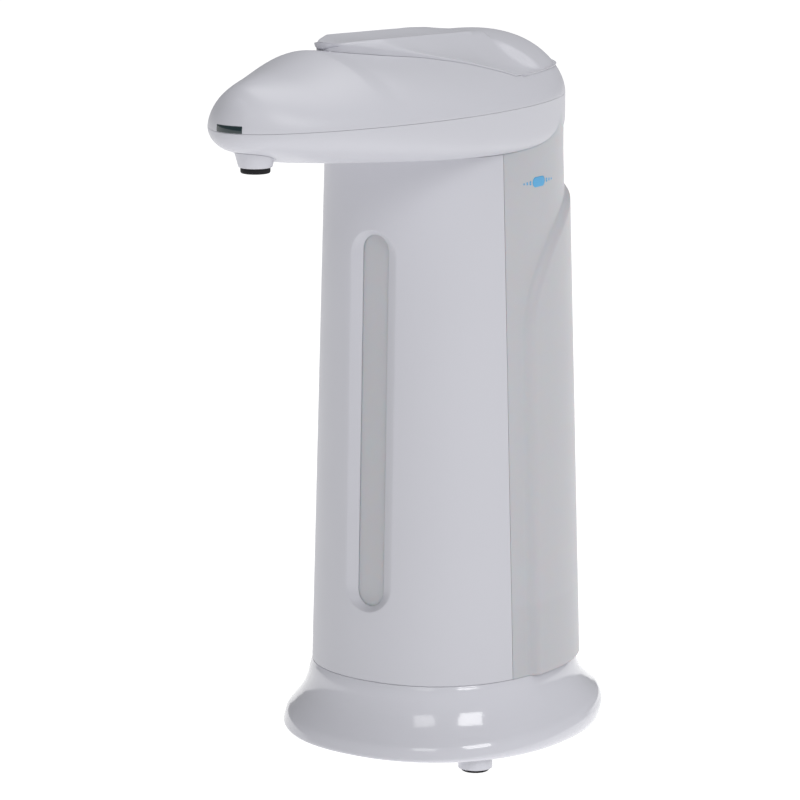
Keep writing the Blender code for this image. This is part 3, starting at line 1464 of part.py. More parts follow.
def make_drive():
    wheel_low, wheel_high = gear_plane_y - gear_width / 2, gear_plane_y + gear_width / 2
    gear("motor_pinion", pinion_teeth, gear_module, math.pi / pinion_teeth, motor_x(), wheel_low,
         wheel_high,
         shaft=(wheel_low, motor_front_y + motor_shaft_length))
    gear("drive_wheel", wheel_teeth, gear_module, 0.0, wheel_x, wheel_low, wheel_high,
         shaft_radius + pin_play)
    motor = cylinder("motor", motor_radius, motor_front_y, motor_rear_y(), (motor_x(), drive_height), 28,
                     "Y")
    bevel(motor, motor_radius / 12, 1)
    bore(motor, cylinder("motor_nose", motor_nose_radius, motor_front_y - motor_nose_length,
                         motor_front_y + overrun, (motor_x(), drive_height), 20, "Y"), "UNION")
    bore(motor, cylinder("motor_shaft_bore", shaft_radius + pin_play, motor_front_y - overrun,
                         motor_front_y + motor_shaft_length + clearance,
                         (motor_x(), drive_height), 16, "Y"))
    keep(motor, bright_steel)
    rear = motor_front_y - motor_bracket_gap
    front = rear - bracket_thickness
    bracket = block("motor_bracket", (motor_x() - motor_radius, front, column_floor),
                    (motor_x() + motor_radius, rear, drive_height + motor_radius))
    bore(bracket, block("bracket_cradle", (motor_x() - motor_radius / 2, front, column_floor),
                        (motor_x() + motor_radius / 2, motor_rear_y(),
                         drive_height - motor_radius - clearance)), "UNION")
    bore(bracket, cylinder("bracket_hole", motor_nose_radius + clearance, front - overrun, rear + overrun,
                           (motor_x(), drive_height), 20, "Y"))
    keep(bracket, bright_steel)
    pump_x = wheel_x + pump_module * pump_teeth
    tip = pump_module * (pump_teeth / 2 + addendum_share)
    cavity = tip + pump_play
    cover_rear = pump_rear_y
    cover_front = cover_rear - pump_cover_thickness
    body_rear = cover_front - clearance
    gear_rear = body_rear - pump_play
    gear_front = gear_rear - pump_gear_width
    body_front = pump_front_y
    half = cavity + pump_wall
    body = block("pump_body", (wheel_x - half, body_front, drive_height - half),
                 (pump_x + half, body_rear, drive_height + half))
    bevel(body, pump_wall / 3, 1)
    bore(body, block("pump_foot", (wheel_x, body_front + pump_wall, column_floor),
                     (pump_x, body_rear - pump_wall, drive_height - half + pump_wall / 2)), "UNION")
    bore(body, cylinder("pump_top_nipple", nipple_radius, drive_height + cavity + pump_wall / 2,
                        drive_height + half + nipple_length / 2, (port_x, port_y), 16), "UNION")
    bore(body, cylinder("pump_front_nipple", nipple_radius, body_front - nipple_length,
                        body_front + pump_wall / 2, (port_x,
                                                     drive_height - pump_outlet_drop), 16, "Y"), "UNION")
    for name, x in (("drive", wheel_x), ("driven", pump_x)):
        bore(body, cylinder("cavity_" + name, cavity, gear_front - pump_play, body_rear + overrun,
                            (x, drive_height), 32, "Y"))
        bore(body, cylinder("bearing_" + name, shaft_radius + pin_play, body_front + pump_wall / 3,
                            body_rear, (x, drive_height), 16, "Y"))
    bore(body, cylinder("pump_inlet_way", nipple_bore_radius, drive_height,
                        drive_height + half + nipple_length, (port_x, port_y), 12))
    bore(body, cylinder("pump_outlet_way", nipple_bore_radius, body_front - nipple_length - overrun,
                        gear_front, (port_x, drive_height - pump_outlet_drop), 12, "Y"))
    keep(body, gear_nylon)
    cover = block("pump_cover", (wheel_x - half, cover_front, drive_height - half),
                  (pump_x + half, cover_rear, drive_height + half))
    bevel(cover, pump_cover_thickness / 4, 1)
    for name, x in (("drive", wheel_x), ("driven", pump_x)):
        bore(cover, cylinder("cover_bearing_" + name, shaft_radius + pin_play, cover_front - overrun,
                             cover_rear + overrun, (x, drive_height), 16, "Y"))
    keep(cover, gear_nylon)
    shaft_front = body_front + pump_wall / 3 + clearance
    gear("pump_drive_gear", pump_teeth, pump_module, 0.0, wheel_x, gear_front, gear_rear,
         shaft=(shaft_front, wheel_high + clearance))
    gear("pump_driven_gear", pump_teeth, pump_module, math.pi / pump_teeth, pump_x, gear_front, gear_rear,
         shaft=(shaft_front, cover_rear))


def make_suction():
    half = pump_module * (pump_teeth / 2 + addendum_share) + pump_play + pump_wall
    top = drive_height + half
    floor_low = tank_floor_top - tank_floor_thickness
    place = (port_x, port_y)
    inner = nipple_radius + clearance / 2
    outer = inner + hose_wall
    profile = [(inner, floor_low - clearance), (outer, floor_low - clearance), (outer, top + clearance),
               (inner, top + clearance)]
    keep(turned("suction_hose", profile, place, 16), clear_hose)
    stem_low = top + nipple_length / 2 + clearance
    above = tank_floor_top + clearance
    profile = [(nipple_bore_radius, above + strainer_height),
               (strainer_radius, above + strainer_height - pad_edge), (strainer_radius, above),
               (nipple_radius, above), (nipple_radius, stem_low), (nipple_bore_radius, stem_low)]
    keep(turned("tank_strainer", profile, place, 20), gear_nylon)


port_x = wheel_x + pump_module * pump_teeth / 2
pump_front_y = pump_rear_y - pump_cover_thickness - clearance - 2 * pump_play - pump_gear_width - pump_wall
port_y = (pump_front_y + pump_wall + pump_rear_y - pump_cover_thickness) / 2
hinge_height = lid_seam_height
hinge_y = lid_rear_y() - hinge_barrel_radius - hinge_rear_cover


make_foot_shell()
make_floor_plate()
make_pads_and_screws()
make_battery_bay()
make_switch()
make_front_shell()
make_tank()
make_head_lower()
make_head_upper()
make_lid()
make_hinge_pin()
make_filler()
make_nose_pieces()
make_drive()
make_suction()
make_hoses()
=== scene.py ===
# The looks of a white soap dispenser with a milky tank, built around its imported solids.
# Metres, Z up, the nose along -Y. Surfaces are worked out about the column's own axis.
import math

import bmesh
import bpy
from mathutils import Matrix, Vector


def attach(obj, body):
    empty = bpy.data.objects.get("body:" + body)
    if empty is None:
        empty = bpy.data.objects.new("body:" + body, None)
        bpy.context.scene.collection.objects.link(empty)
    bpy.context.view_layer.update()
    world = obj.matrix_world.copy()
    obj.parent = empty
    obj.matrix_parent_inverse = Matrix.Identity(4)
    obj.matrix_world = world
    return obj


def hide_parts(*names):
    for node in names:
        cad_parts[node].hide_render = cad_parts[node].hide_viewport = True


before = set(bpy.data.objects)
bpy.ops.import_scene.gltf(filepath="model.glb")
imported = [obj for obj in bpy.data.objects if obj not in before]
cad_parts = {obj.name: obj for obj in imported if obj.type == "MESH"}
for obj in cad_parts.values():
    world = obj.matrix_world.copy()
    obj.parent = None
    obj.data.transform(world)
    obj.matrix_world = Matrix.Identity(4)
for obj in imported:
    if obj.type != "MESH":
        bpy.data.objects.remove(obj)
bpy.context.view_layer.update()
print("solids loaded:", len(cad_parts))

mm = 0.001
axisY = 34.856 * mm  # the column's axis, ahead of the origin
gap = 0.11 * mm  # hairline between two mouldings
tiny = 0.01 * mm  # a width or distance that counts as none


# Finishes

# what a look keeps where it says nothing else
commonLook = {
    "stretch": (1.0, 1.0, 1.0), "sockets": {}, "polishScale": 60.0, "polishDetail": 4.0,
    "drift": 0.97, "driftScale": 18.0, "driftDetail": 2.0, "driftSpan": (0.3, 0.7),
    "grain": 0.05, "grainScale": 2600.0, "grainDetail": 3.0, "grainDepth": 0.02,
}


def makeFinish(name, ownLook):
    look = {**commonLook, **ownLook}
    finish = bpy.data.materials.new(name)
    finish.use_nodes = True
    nodes, links = finish.node_tree.nodes, finish.node_tree.links
    shader = nodes["Principled BSDF"]
    place = nodes.new("ShaderNodeTexCoord")
    stretch = nodes.new("ShaderNodeMapping")
    stretch.inputs["Scale"].default_value = look["stretch"]
    links.new(place.outputs["Object"], stretch.inputs["Vector"])

    def noise(scale, detail):
        node = nodes.new("ShaderNodeTexNoise")
        node.inputs["Scale"].default_value = scale
        node.inputs["Detail"].default_value = detail
        links.new(stretch.outputs["Vector"], node.inputs["Vector"])
        return node.outputs["Fac"]

    # slow drift of the colour through the moulding
    drift = nodes.new("ShaderNodeValToRGB")
    for element, at, share in zip(drift.color_ramp.elements, look["driftSpan"], (look["drift"], 1.0)):
        element.position = at
        element.color = (*[c * share for c in look["colour"]], 1.0)
    links.new(noise(look["driftScale"], look["driftDetail"]), drift.inputs["Fac"])
    links.new(drift.outputs["Color"], shader.inputs["Base Color"])

    # polish that varies a little, as handling leaves it
    polish = nodes.new("ShaderNodeMapRange")
    polish.inputs["To Min"].default_value = look["rough"][0]
    polish.inputs["To Max"].default_value = look["rough"][1]
    links.new(noise(look["polishScale"], look["polishDetail"]), polish.inputs["Value"])
    links.new(polish.outputs["Result"], shader.inputs["Roughness"])

    # fine grain of the surface itself
    grain = nodes.new("ShaderNodeBump")
    grain.inputs["Strength"].default_value = look["grain"]
    grain.inputs["Distance"].default_value = look["grainDepth"] * mm
    links.new(noise(look["grainScale"], look["grainDetail"]), grain.inputs["Height"])
    links.new(grain.outputs["Normal"], shader.inputs["Normal"])
    for socket, value in look["sockets"].items():
        shader.inputs[socket].default_value = value
    return finish


finishLooks = {
    "satinWhite": {"colour": (0.565, 0.565, 0.612), "drift": 0.985, "rough": (0.36, 0.44), "grain": 0.35,
                   "grainScale": 3000.0, "grainDepth": 0.012},
    "glossWhite": {"colour": (0.62, 0.62, 0.672), "drift": 0.985, "rough": (0.09, 0.14), "grain": 0.04,
                   "grainScale": 500.0, "sockets": {"Coat Weight": 0.3, "Coat Roughness": 0.05}},
    "innerGrey": {"colour": (0.42, 0.43, 0.45), "drift": 0.93, "rough": (0.42, 0.55), "grain": 0.3},
    "softSeal": {"colour": (0.50, 0.51, 0.53), "drift": 0.94, "rough": (0.5, 0.62), "grain": 0.2,
                 "sockets": {"Subsurface Weight": 0.1, "Subsurface Scale": 0.001}},
    "blackRubber": {"colour": (0.014, 0.014, 0.016), "drift": 0.7, "rough": (0.5, 0.66), "grain": 0.4,
                    "sockets": {"Specular IOR Level": 0.15}},
    "darkWindow": {"colour": (0.006, 0.022, 0.026), "drift": 0.8, "rough": (0.05, 0.09), "grain": 0.02,
                   "sockets": {"Coat Weight": 0.5, "Coat Roughness": 0.03}},
    "brightSteel": {"colour": (0.60, 0.61, 0.63), "drift": 0.92, "rough": (0.22, 0.36), "grain": 0.25,
                    "grainScale": 900.0, "stretch": (1.0, 0.06, 1.0), "sockets": {"Metallic": 1.0}},
    "springBrass": {"colour": (0.72, 0.55, 0.26), "drift": 0.88, "rough": (0.24, 0.38), "grain": 0.25,
                    "grainScale": 900.0, "stretch": (0.06, 1.0, 1.0), "sockets": {"Metallic": 1.0}},
    "gearNylon": {"colour": (0.80, 0.79, 0.72), "drift": 0.95, "rough": (0.40, 0.50), "grain": 0.25,
                  "sockets": {"Subsurface Weight": 0.15, "Subsurface Scale": 0.001}},
    "clearHose": {"colour": (0.78, 0.80, 0.82), "drift": 0.96, "rough": (0.14, 0.22), "grain": 0.05,
                  "sockets": {"Transmission Weight": 0.5}},
    "redLead": {"colour": (0.42, 0.03, 0.03), "drift": 0.85, "rough": (0.38, 0.5), "grain": 0.2},
    "blackLead": {"colour": (0.03, 0.03, 0.032), "drift": 0.8, "rough": (0.38, 0.5), "grain": 0.2},
    "levelBlue": {"colour": (0.085, 0.38, 0.68), "drift": 0.94, "rough": (0.34, 0.42), "grain": 0.15},
}
finishes = {name: makeFinish(name, look) for name, look in finishLooks.items()}


def ownPlace(finish):
    # the object's own place as its three parts
    place = finish.node_tree.nodes.new("ShaderNodeTexCoord").outputs["Object"]
    split = finish.node_tree.nodes.new("ShaderNodeSeparateXYZ")
    finish.node_tree.links.new(place, split.inputs["Vector"])
    return split.outputs


# the lower colour is painted shade: it darkens the wall below the floor's height, for the pump room behind
# the milky wall
tankLook = {
    "colour": (0.545, 0.545, 0.578), "paintedShadeColour": (0.525, 0.525, 0.558), "paintedShadeTop": 58.3 * mm,
    "paintedShadeBlend": 1.2 * mm, "drift": 0.985, "rough": (0.30, 0.38), "grain": 0.1,
    "sockets": {"Transmission Weight": 0.12, "Subsurface Weight": 0.25, "Subsurface Scale": 0.004},
}


def makeTankFinish(look):
    finish = makeFinish("milkyTank", look)
    nodes, links = finish.node_tree.nodes, finish.node_tree.links
    # painted shade: below the tank's floor the milky wall is painted a shade darker, standing in for the dark
    # pump room seen through it
    height = nodes.new("ShaderNodeMapRange")
    height.inputs["From Min"].default_value = look["paintedShadeTop"] - look["paintedShadeBlend"]
    height.inputs["From Max"].default_value = look["paintedShadeTop"] + look["paintedShadeBlend"]
    links.new(ownPlace(finish)["Z"], height.inputs["Value"])
    paintedShadeMix = nodes.new("ShaderNodeMix")
    paintedShadeMix.data_type = "RGBA"
    paintedShadeInputs = {socket.name: socket for socket in paintedShadeMix.inputs if socket.type == "RGBA"}
    shader = nodes["Principled BSDF"]
    drift = shader.inputs["Base Color"].links[0].from_socket
    links.new(height.outputs["Result"], paintedShadeMix.inputs["Factor"])
    links.new(drift, paintedShadeInputs["B"])
    links.new([s for s in paintedShadeMix.outputs if s.type == "RGBA"][0], shader.inputs["Base Color"])
    paintedShadeInputs["A"].default_value = (*look["paintedShadeColour"], 1.0)
    return finish


finishes["milkyTank"] = makeTankFinish(tankLook)

boardLook = {
    "colour": (0.02, 0.16, 0.07), "rough": (0.28, 0.4), "grain": 0.15,
    "track": (0.05, 0.27, 0.12), "trackPitch": 420.0, "trackWidth": 0.06, "shade": 0.9,
}
cellLook = {
    "colour": (0.05, 0.26, 0.12), "rough": (0.16, 0.26), "grain": 0.05,
    "band": (0.62, 0.50, 0.24), "bandSpan": (0.042, 0.062),
}


def makeBoardFinish(look):
    finish = makeFinish("boardGreen", look)
    nodes, links = finish.node_tree.nodes, finish.node_tree.links
    place = nodes.new("ShaderNodeTexCoord")
    tracks = nodes.new("ShaderNodeTexBrick")
    tracks.inputs["Scale"].default_value = look["trackPitch"]
    tracks.inputs["Mortar Size"].default_value = look["trackWidth"]
    tracks.inputs["Color1"].default_value = (*look["colour"], 1.0)
    tracks.inputs["Color2"].default_value = (*[c * look["shade"] for c in look["colour"]], 1.0)
    tracks.inputs["Mortar"].default_value = (*look["track"], 1.0)
    links.new(place.outputs["Object"], tracks.inputs["Vector"])
    links.new(tracks.outputs["Color"], nodes["Principled BSDF"].inputs["Base Color"])
    return finish


def makeCellFinish(look):
    finish = makeFinish("cellSleeve", look)
    nodes, links = finish.node_tree.nodes, finish.node_tree.links
    # a plain brass-coloured band at one end of each cell
    band = nodes.new("ShaderNodeValToRGB")
    band.color_ramp.interpolation = "CONSTANT"
    band.color_ramp.elements[0].color = (*look["colour"], 1.0)
    band.color_ramp.elements[1].position = 0.5
    band.color_ramp.elements[1].color = (*look["band"], 1.0)
    reach = nodes.new("ShaderNodeMapRange")
    reach.inputs["From Min"].default_value = look["bandSpan"][0]
    reach.inputs["From Max"].default_value = look["bandSpan"][1]
    links.new(ownPlace(finish)["Y"], reach.inputs["Value"])
    links.new(reach.outputs["Result"], band.inputs["Fac"])
    links.new(band.outputs["Color"], nodes["Principled BSDF"].inputs["Base Color"])
    return finish


finishes["boardGreen"] = makeBoardFinish(boardLook)
finishes["cellSleeve"] = makeCellFinish(cellLook)
print("finishes made:", len(finishes))

# The solids that stay, by the finish that each takes
keptSolids = {
    "glossWhite": ["floor_plate", "battery_cover"],
    "innerGrey": ["battery_tray", "switch_housing", "filler_deck", "filler_funnel", "tank_strainer",
                  "pump_cover"],
    "softSeal": ["filler_seal"],
    "blackRubber": ["power_switch_knob"],
    "darkWindow": ["infrared_emitter", "infrared_receiver"],
    "brightSteel": ["foot_screw_front_left", "foot_screw_front_right", "foot_screw_rear_left",
                    "foot_screw_rear_right", "battery_cover_screw", "lid_hinge_pin", "motor",
                    "motor_bracket"],
    "springBrass": ["contact_plate_front", "contact_plate_rear"],
    "gearNylon": ["pump_body", "drive_wheel", "pump_drive_gear", "motor_pinion", "pump_driven_gear"],
    "clearHose": ["delivery_hose", "suction_hose"],
    "redLead": ["power_lead"],
    "blackLead": ["motor_lead"],
    "boardGreen": ["main_board", "sensor_board"],
    "cellSleeve": ["battery_1", "battery_2", "battery_3", "battery_4"],
}
for finishName, names in keptSolids.items():
    for name in names:
        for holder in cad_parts[name].material_slots:
            holder.material = finishes[finishName]


# Shaping

shaping = {
    "mergeWithin": 0.002 * mm, "dissolveWithin": 0.001 * mm, "edgeSteps": 2, "edgeDegrees": 50.0,
    "halvings": 44,
}


def mappedSheet(across, along, place, outFrom=None):
    # a grid whose every point is carried to its place; meeting edges are merged
    sheet = bmesh.new()
    bmesh.ops.create_grid(sheet, x_segments=across, y_segments=along, size=0.5)
    for vert in sheet.verts:
        vert.co = place(round((vert.co.x + 0.5) * across), round((vert.co.y + 0.5) * along))
    bmesh.ops.remove_doubles(sheet, verts=sheet.verts, dist=shaping["mergeWithin"])
    bmesh.ops.dissolve_degenerate(sheet, dist=shaping["dissolveWithin"], edges=sheet.edges)
    bmesh.ops.recalc_face_normals(sheet, faces=sheet.faces)
    if outFrom is not None:
        facing = sum((f.calc_center_median() - outFrom).dot(f.normal) * f.calc_area() for f in sheet.faces)
        if facing < 0.0:
            bmesh.ops.reverse_faces(sheet, faces=sheet.faces)
    return sheet


def meshObject(name, shape):
    data = bpy.data.meshes.new(name)
    shape.to_mesh(data)
    shape.free()
    made = bpy.data.objects.new(name, data)
    bpy.context.scene.collection.objects.link(made)
    return made


def addPiece(name, shape, finish, body="root", stands=(), wall=0.0, edge=0.0, creaseDegrees=40.0):
    piece = meshObject(name, shape)
    data = piece.data
    data.shade_smooth()
    data.set_sharp_from_angle(angle=math.radians(creaseDegrees))
    data.materials.append(finishes[finish])
    if wall:
        thicken = piece.modifiers.new("wall", "SOLIDIFY")
        thicken.thickness = wall
        thicken.offset = -1.0
    if edge:
        soften = piece.modifiers.new("softEdges", "BEVEL")
        soften.width = edge
        soften.segments = shaping["edgeSteps"]
        soften.limit_method = "ANGLE"
        soften.angle_limit = math.radians(shaping["edgeDegrees"])
        soften.harden_normals = True
    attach(piece, body)
    if stands:
        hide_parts(*stands)
    print("piece:", name, len(data.polygons), "faces")
    return piece


def smoothStep(value):
    value = max(0.0, min(1.0, value))
    return value * value * (3.0 - 2.0 * value)


def smoothMarks(marks, at):
    # a smooth line through marks in rising order, which never overshoots them
    if at <= marks[0][0]:
        return marks[0][1]
    if at >= marks[-1][0]:
        return marks[-1][1]
    slopes = [(b[1] - a[1]) / (b[0] - a[0]) for a, b in zip(marks, marks[1:])]

    def tangent(i):
        if i == 0 or i == len(marks) - 1:
            return slopes[min(i, len(slopes) - 1)]
        before, after = slopes[i - 1], slopes[i]
        return 0.0 if before * after <= 0.0 else 2.0 * before * after / (before + after)
    i = max(k for k in range(len(marks) - 1) if marks[k][0] <= at)
    run = marks[i + 1][0] - marks[i][0]
    t = (at - marks[i][0]) / run
    return ((2 * t ** 3 - 3 * t ** 2 + 1) * marks[i][1] + (t ** 3 - 2 * t ** 2 + t) * run * tangent(i)
            + (3 * t ** 2 - 2 * t ** 3) * marks[i + 1][1] + (t ** 3 - t ** 2) * run * tangent(i + 1))


def ovalPoint(angle, halfX, halfY, power):
    c, s = math.cos(angle), math.sin(angle)
    return (halfX * math.copysign(abs(c) ** (2 / power), c), halfY * math.copysign(abs(s) ** (2 / power), s))


def placed(x, y, z):
    # a point given about the column's axis
    return Vector((x, y + axisY, z))


def turnedPiece(profile, centre, steps, topAt=None):
    # a closed profile carried round an upright axis; topAt gives the height of points that follow a surface
    count = len(profile)

    def place(i, j):
        radius, height = profile[j % count]
        x = radius * math.cos(2 * math.pi * i / steps)
        y = centre[1] + radius * math.sin(2 * math.pi * i / steps)
        return placed(centre[0] + x, y, topAt(centre[0] + x, y) if height is None else height)
    return mappedSheet(steps, count, place)


def roundedFoot(radius, low, rounding, turns=(0.0, 30.0, 60.0, 90.0)):
    # the quarter round from a turned piece's side to its underside, for a profile
    points = []
    for turn in turns:
        a = math.radians(turn)
        points.append((radius - rounding * (1 - math.cos(a)), low + rounding * (1 - math.sin(a))))
    return points


# Column

column = {
    "seamHeight": 31.75 * mm, "topHeight": 222.0 * mm,
    "footHalf": (45.9 * mm, 50.6 * mm), "topHalf": (41.0 * mm, 45.1 * mm), "power": 2.21,
}


def columnHalf(height):
    share = (height - column["seamHeight"]) / (column["topHeight"] - column["seamHeight"])
    return [low + share * (high - low) for low, high in zip(column["footHalf"], column["topHalf"])]


def columnPoint(angle, height, inset=0.0):
    # a point of the column's oval, moved straight inwards; -90 degrees is the front
    halfX, halfY = columnHalf(height)
    power = column["power"]
    x, y = ovalPoint(angle, halfX, halfY, power)
    if inset == 0.0:
        return x, y
    lean = Vector((math.copysign(abs(x / halfX) ** (power - 1) / halfX, x),
                   math.copysign(abs(y / halfY) ** (power - 1) / halfY, y))).normalized()
    return x - lean.x * inset, y - lean.y * inset


def angleAtDepth(y, height):
    return math.copysign(math.asin(min(1.0, abs(y) / columnHalf(height)[1]) ** (column["power"] / 2)), y)


def angleAcross(x, height):
    # the front angle at a place across the column's width
    share = min(1.0, abs(x) / columnHalf(height)[0]) ** (column["power"] / 2)
    return -math.pi / 2 + math.copysign(math.asin(share), x)


# Foot

foot = {
    "flare": 10.4 * mm, "bellyHeight": 11.0 * mm, "edgeHeight": 5.5 * mm, "edgeOutset": 6.6 * mm,
    "lean": 3.8 * mm, "widthShare": 1.03, "lengthShare": 0.97, "wall": 2.0 * mm,
    "deckEdge": 0.35 * mm, "deckShares": (0.0, 0.35, 0.7, 0.9, 1.0), "deckTurns": (30.0, 60.0, 90.0),
    "flareMarks": ((0.0, 1.0), (0.145, 0.904), (0.294, 0.654), (0.443, 0.423), (0.592, 0.25),
                   (0.742, 0.144), (0.886, 0.077), (1.0, 0.0)),
    "steps": 160, "flareRows": 34, "turnRows": 16,
}


def footOutset(height):
    if height >= foot["bellyHeight"]:
        up = (height - foot["bellyHeight"]) / (column["seamHeight"] - foot["bellyHeight"])
        return foot["flare"] * smoothMarks(foot["flareMarks"], up)
    down = min(1.0, (foot["bellyHeight"] - height) / (foot["bellyHeight"] - foot["edgeHeight"]))
    return foot["flare"] - (foot["flare"] - foot["edgeOutset"]) * (1 - math.sqrt(max(0.0, 1 - down ** 2)))


def footLean(height):
    # how far the flare leans at a height: none at the seam or the bottom edge, most at the belly
    if height >= foot["bellyHeight"]:
        return (column["seamHeight"] - height) / (column["seamHeight"] - foot["bellyHeight"])
    return (height - foot["edgeHeight"]) / (foot["bellyHeight"] - foot["edgeHeight"])


def makeFoot():
    seam, belly, low = column["seamHeight"], foot["bellyHeight"], foot["edgeHeight"]
    rounding, flareRows, turnRows = foot["deckEdge"], foot["flareRows"], foot["turnRows"]
    # share of the oval, outset and height, from the deck's middle over its edge and down the flare
    rows = [(share, -rounding, seam) for share in foot["deckShares"]]
    for turn in foot["deckTurns"]:
        a = math.radians(turn)
        rows.append((1.0, -rounding * (1 - math.sin(a)), seam - rounding * (1 - math.cos(a))))
    heights = [seam - rounding - (seam - rounding - belly) * (i / flareRows) for i in range(1, flareRows + 1)]
    heights += [belly - (belly - low) * math.sin(math.pi / 2 * i / turnRows) for i in range(1, turnRows + 1)]
    rows += [(1.0, footOutset(height), height) for height in heights]

    def place(i, j):
        share, outset, height = rows[j]
        halfX = column["footHalf"][0] + outset * foot["widthShare"]
        halfY = column["footHalf"][1] + outset * foot["lengthShare"]
        x, y = ovalPoint(2 * math.pi * i / foot["steps"], halfX * share, halfY * share, column["power"])
        lean = foot["lean"] * y / column["footHalf"][1] * max(0.0, footLean(height))
        return placed(x, y, height + lean)
    shape = mappedSheet(foot["steps"], len(rows) - 1, place, outFrom=placed(0.0, 0.0, belly))
    addPiece("footShell", shape, "glossWhite", stands=["foot_shell"],
             wall=foot["wall"], edge=0.5 * mm, creaseDegrees=60.0)


makeFoot()

pads = {
    "halfSpan": (36.7 * mm, 33.2 * mm), "radius": 5.15 * mm, "thick": 2.8 * mm, "edge": 0.7 * mm,
    "edgeTurns": (22.5, 45.0, 67.5, 90.0), "dish": 0.25 * mm, "dishShares": (0.6, 0.5), "steps": 48,
}


def makePads():
    radius, edge = pads["radius"], pads["edge"]
    rim, bed = pads["dishShares"]
    profile = [(0.0, pads["thick"]), (radius, pads["thick"]), (radius, edge)]
    profile += roundedFoot(radius, 0.0, edge, pads["edgeTurns"])
    profile += [(radius * rim, 0.0), (radius * bed, pads["dish"]), (0.0, pads["dish"])]
    for side, sx in (("left", -1), ("right", 1)):
        for end, sy in (("front", -1), ("rear", 1)):
            centre = (sx * pads["halfSpan"][0], sy * pads["halfSpan"][1])
            shape = turnedPiece(profile, centre, pads["steps"])
            addPiece("footPad_%s_%s" % (end, side), shape, "blackRubber",
                     stands=["foot_pad_%s_%s" % (end, side)])


makePads()


# Head surfaces, shared by the shells, the lid, the window and the column's top

head = {
    "seam": 241.6 * mm, "noseReach": 130.28 * mm, "noseRound": 23.0 * mm, "halfWidth": 44.8 * mm,
    "widestY": -28.0 * mm, "sideRun": 42.0 * mm, "rearReach": 50.3 * mm, "rearPower": 2.3, "wall": 2.0 * mm,
    "crown": 266.1 * mm, "fallY": -10.0 * mm, "fallPower": 3.3, "rearDrop": 1.0 * mm,
    "rearDropRun": 20.0 * mm, "tipRoundness": 0.75, "kinkY": -84.0 * mm,
    # the crown's height along the head
    "profile": ((-126.5 * mm, 253.0 * mm), (-122.7 * mm, 256.5 * mm), (-118.8 * mm, 258.1 * mm),
                (-111.1 * mm, 259.8 * mm), (-103.4 * mm, 261.0 * mm), (-95.7 * mm, 262.65 * mm),
                (-91.8 * mm, 263.65 * mm), (-85.0 * mm, 265.4 * mm), (-84.0 * mm, 265.6 * mm),
                (-83.0 * mm, 265.55 * mm), (-76.0 * mm, 264.8 * mm), (-71.0 * mm, 264.4 * mm),
                (-66.0 * mm, 264.25 * mm), (-60.0 * mm, 264.35 * mm), (-41.0 * mm, 265.2 * mm),
                (-10.0 * mm, 266.1 * mm)),
    # how full the crown's section is along the head
    "powers": ((-130.0 * mm, 1.9), (-121.0 * mm, 1.7), (-112.0 * mm, 1.6), (-78.0 * mm, 1.6),
               (-68.0 * mm, 1.7), (-50.0 * mm, 1.66), (-38.0 * mm, 1.6), (5.0 * mm, 1.6), (35.0 * mm, 1.8)),
    "peakBlunt": 0.15, "peakPower": 2.0,
    # the same two for the lower shell
    "lower": ((-124.0 * mm, 234.3 * mm), (-101.0 * mm, 228.4 * mm), (-45.0 * mm, 224.6 * mm),
              (0.0, 223.2 * mm), (48.5 * mm, 228.5 * mm)),
    "lowerPowers": ((-101.0 * mm, 2.2), (-70.0 * mm, 3.4), (-45.0 * mm, 5.0), (0.0, 7.0), (40.0 * mm, 8.0)),
    "fillerY": -2.0 * mm, "fillerRadius": 15.6 * mm, "noseCrowding": 1.4, "rearCrowding": 1.5,
}
middleY = {"head": -40.0 * mm, "lid": -20.0 * mm, "nose": -100.0 * mm}  # faces look out from there


def bezier(t, a, b, c, d):
    return a * (1 - t) ** 3 + 3 * b * t * (1 - t) ** 2 + 3 * c * t ** 2 * (1 - t) + d * t ** 3


def noseOutline(t):
    tip, widest = -head["noseReach"], head["widestY"]
    return (bezier(t, 0.0, head["noseRound"], head["halfWidth"], head["halfWidth"]),
            bezier(t, tip, tip, widest - head["sideRun"], widest))


def halve(test, low, high):
    # the place between low and high where test stops being true
    for _ in range(shaping["halvings"]):
        middle = (low + high) / 2
        if test(middle):
            low = middle
        else:
            high = middle
    return (low + high) / 2


def headHalfAt(y):
    if y <= -head["noseReach"] or y >= head["rearReach"]:
        return 0.0
    if y < head["widestY"]:
        return noseOutline(halve(lambda t: noseOutline(t)[1] < y, 0.0, 1.0))[0]
    share = (y - head["widestY"]) / (head["rearReach"] - head["widestY"])
    return head["halfWidth"] * (1 - share ** head["rearPower"]) ** (1 / head["rearPower"])


def crownTop(y):
    base = head["seam"]
    tipY, tipZ = head["profile"][0]
    if y < tipY:
        u = max(0.0, (y + head["noseReach"]) / (tipY + head["noseReach"]))
        roundness = head["tipRoundness"]
        return base + (tipZ - base) * (roundness * math.sqrt(1 - (1 - u) ** 2) + (1 - roundness) * u)
    if y > head["fallY"]:
        u = min(1.0, (y - head["fallY"]) / (head["rearReach"] - head["fallY"]))
        rise = head["crown"] - head["rearDrop"] * smoothStep((y - head["fallY"]) / head["rearDropRun"]) - base
        return base + rise * (1 - u ** head["fallPower"]) ** (1 / head["fallPower"])
    return smoothMarks(head["profile"], y)


def crownPower(y):
    return smoothMarks(head["powers"], y)


def lowerTop(y):
    marks = head["lower"]
    noseY, noseZ = marks[0]
    rearY, rearZ = marks[-1]
    if y <= noseY:
        u = (y + head["noseReach"]) / (noseY + head["noseReach"])
        return head["seam"] + (noseZ - head["seam"]) * math.sqrt(max(0.0, 1 - (1 - u) ** 2))
    if y >= rearY:
        u = (y - rearY) / (head["rearReach"] - rearY)
        return head["seam"] + (rearZ - head["seam"]) * math.sqrt(max(0.0, 1 - u ** 2))
    return smoothMarks(marks, y)


def lowerPower(y):
    return smoothMarks(head["lowerPowers"], y)


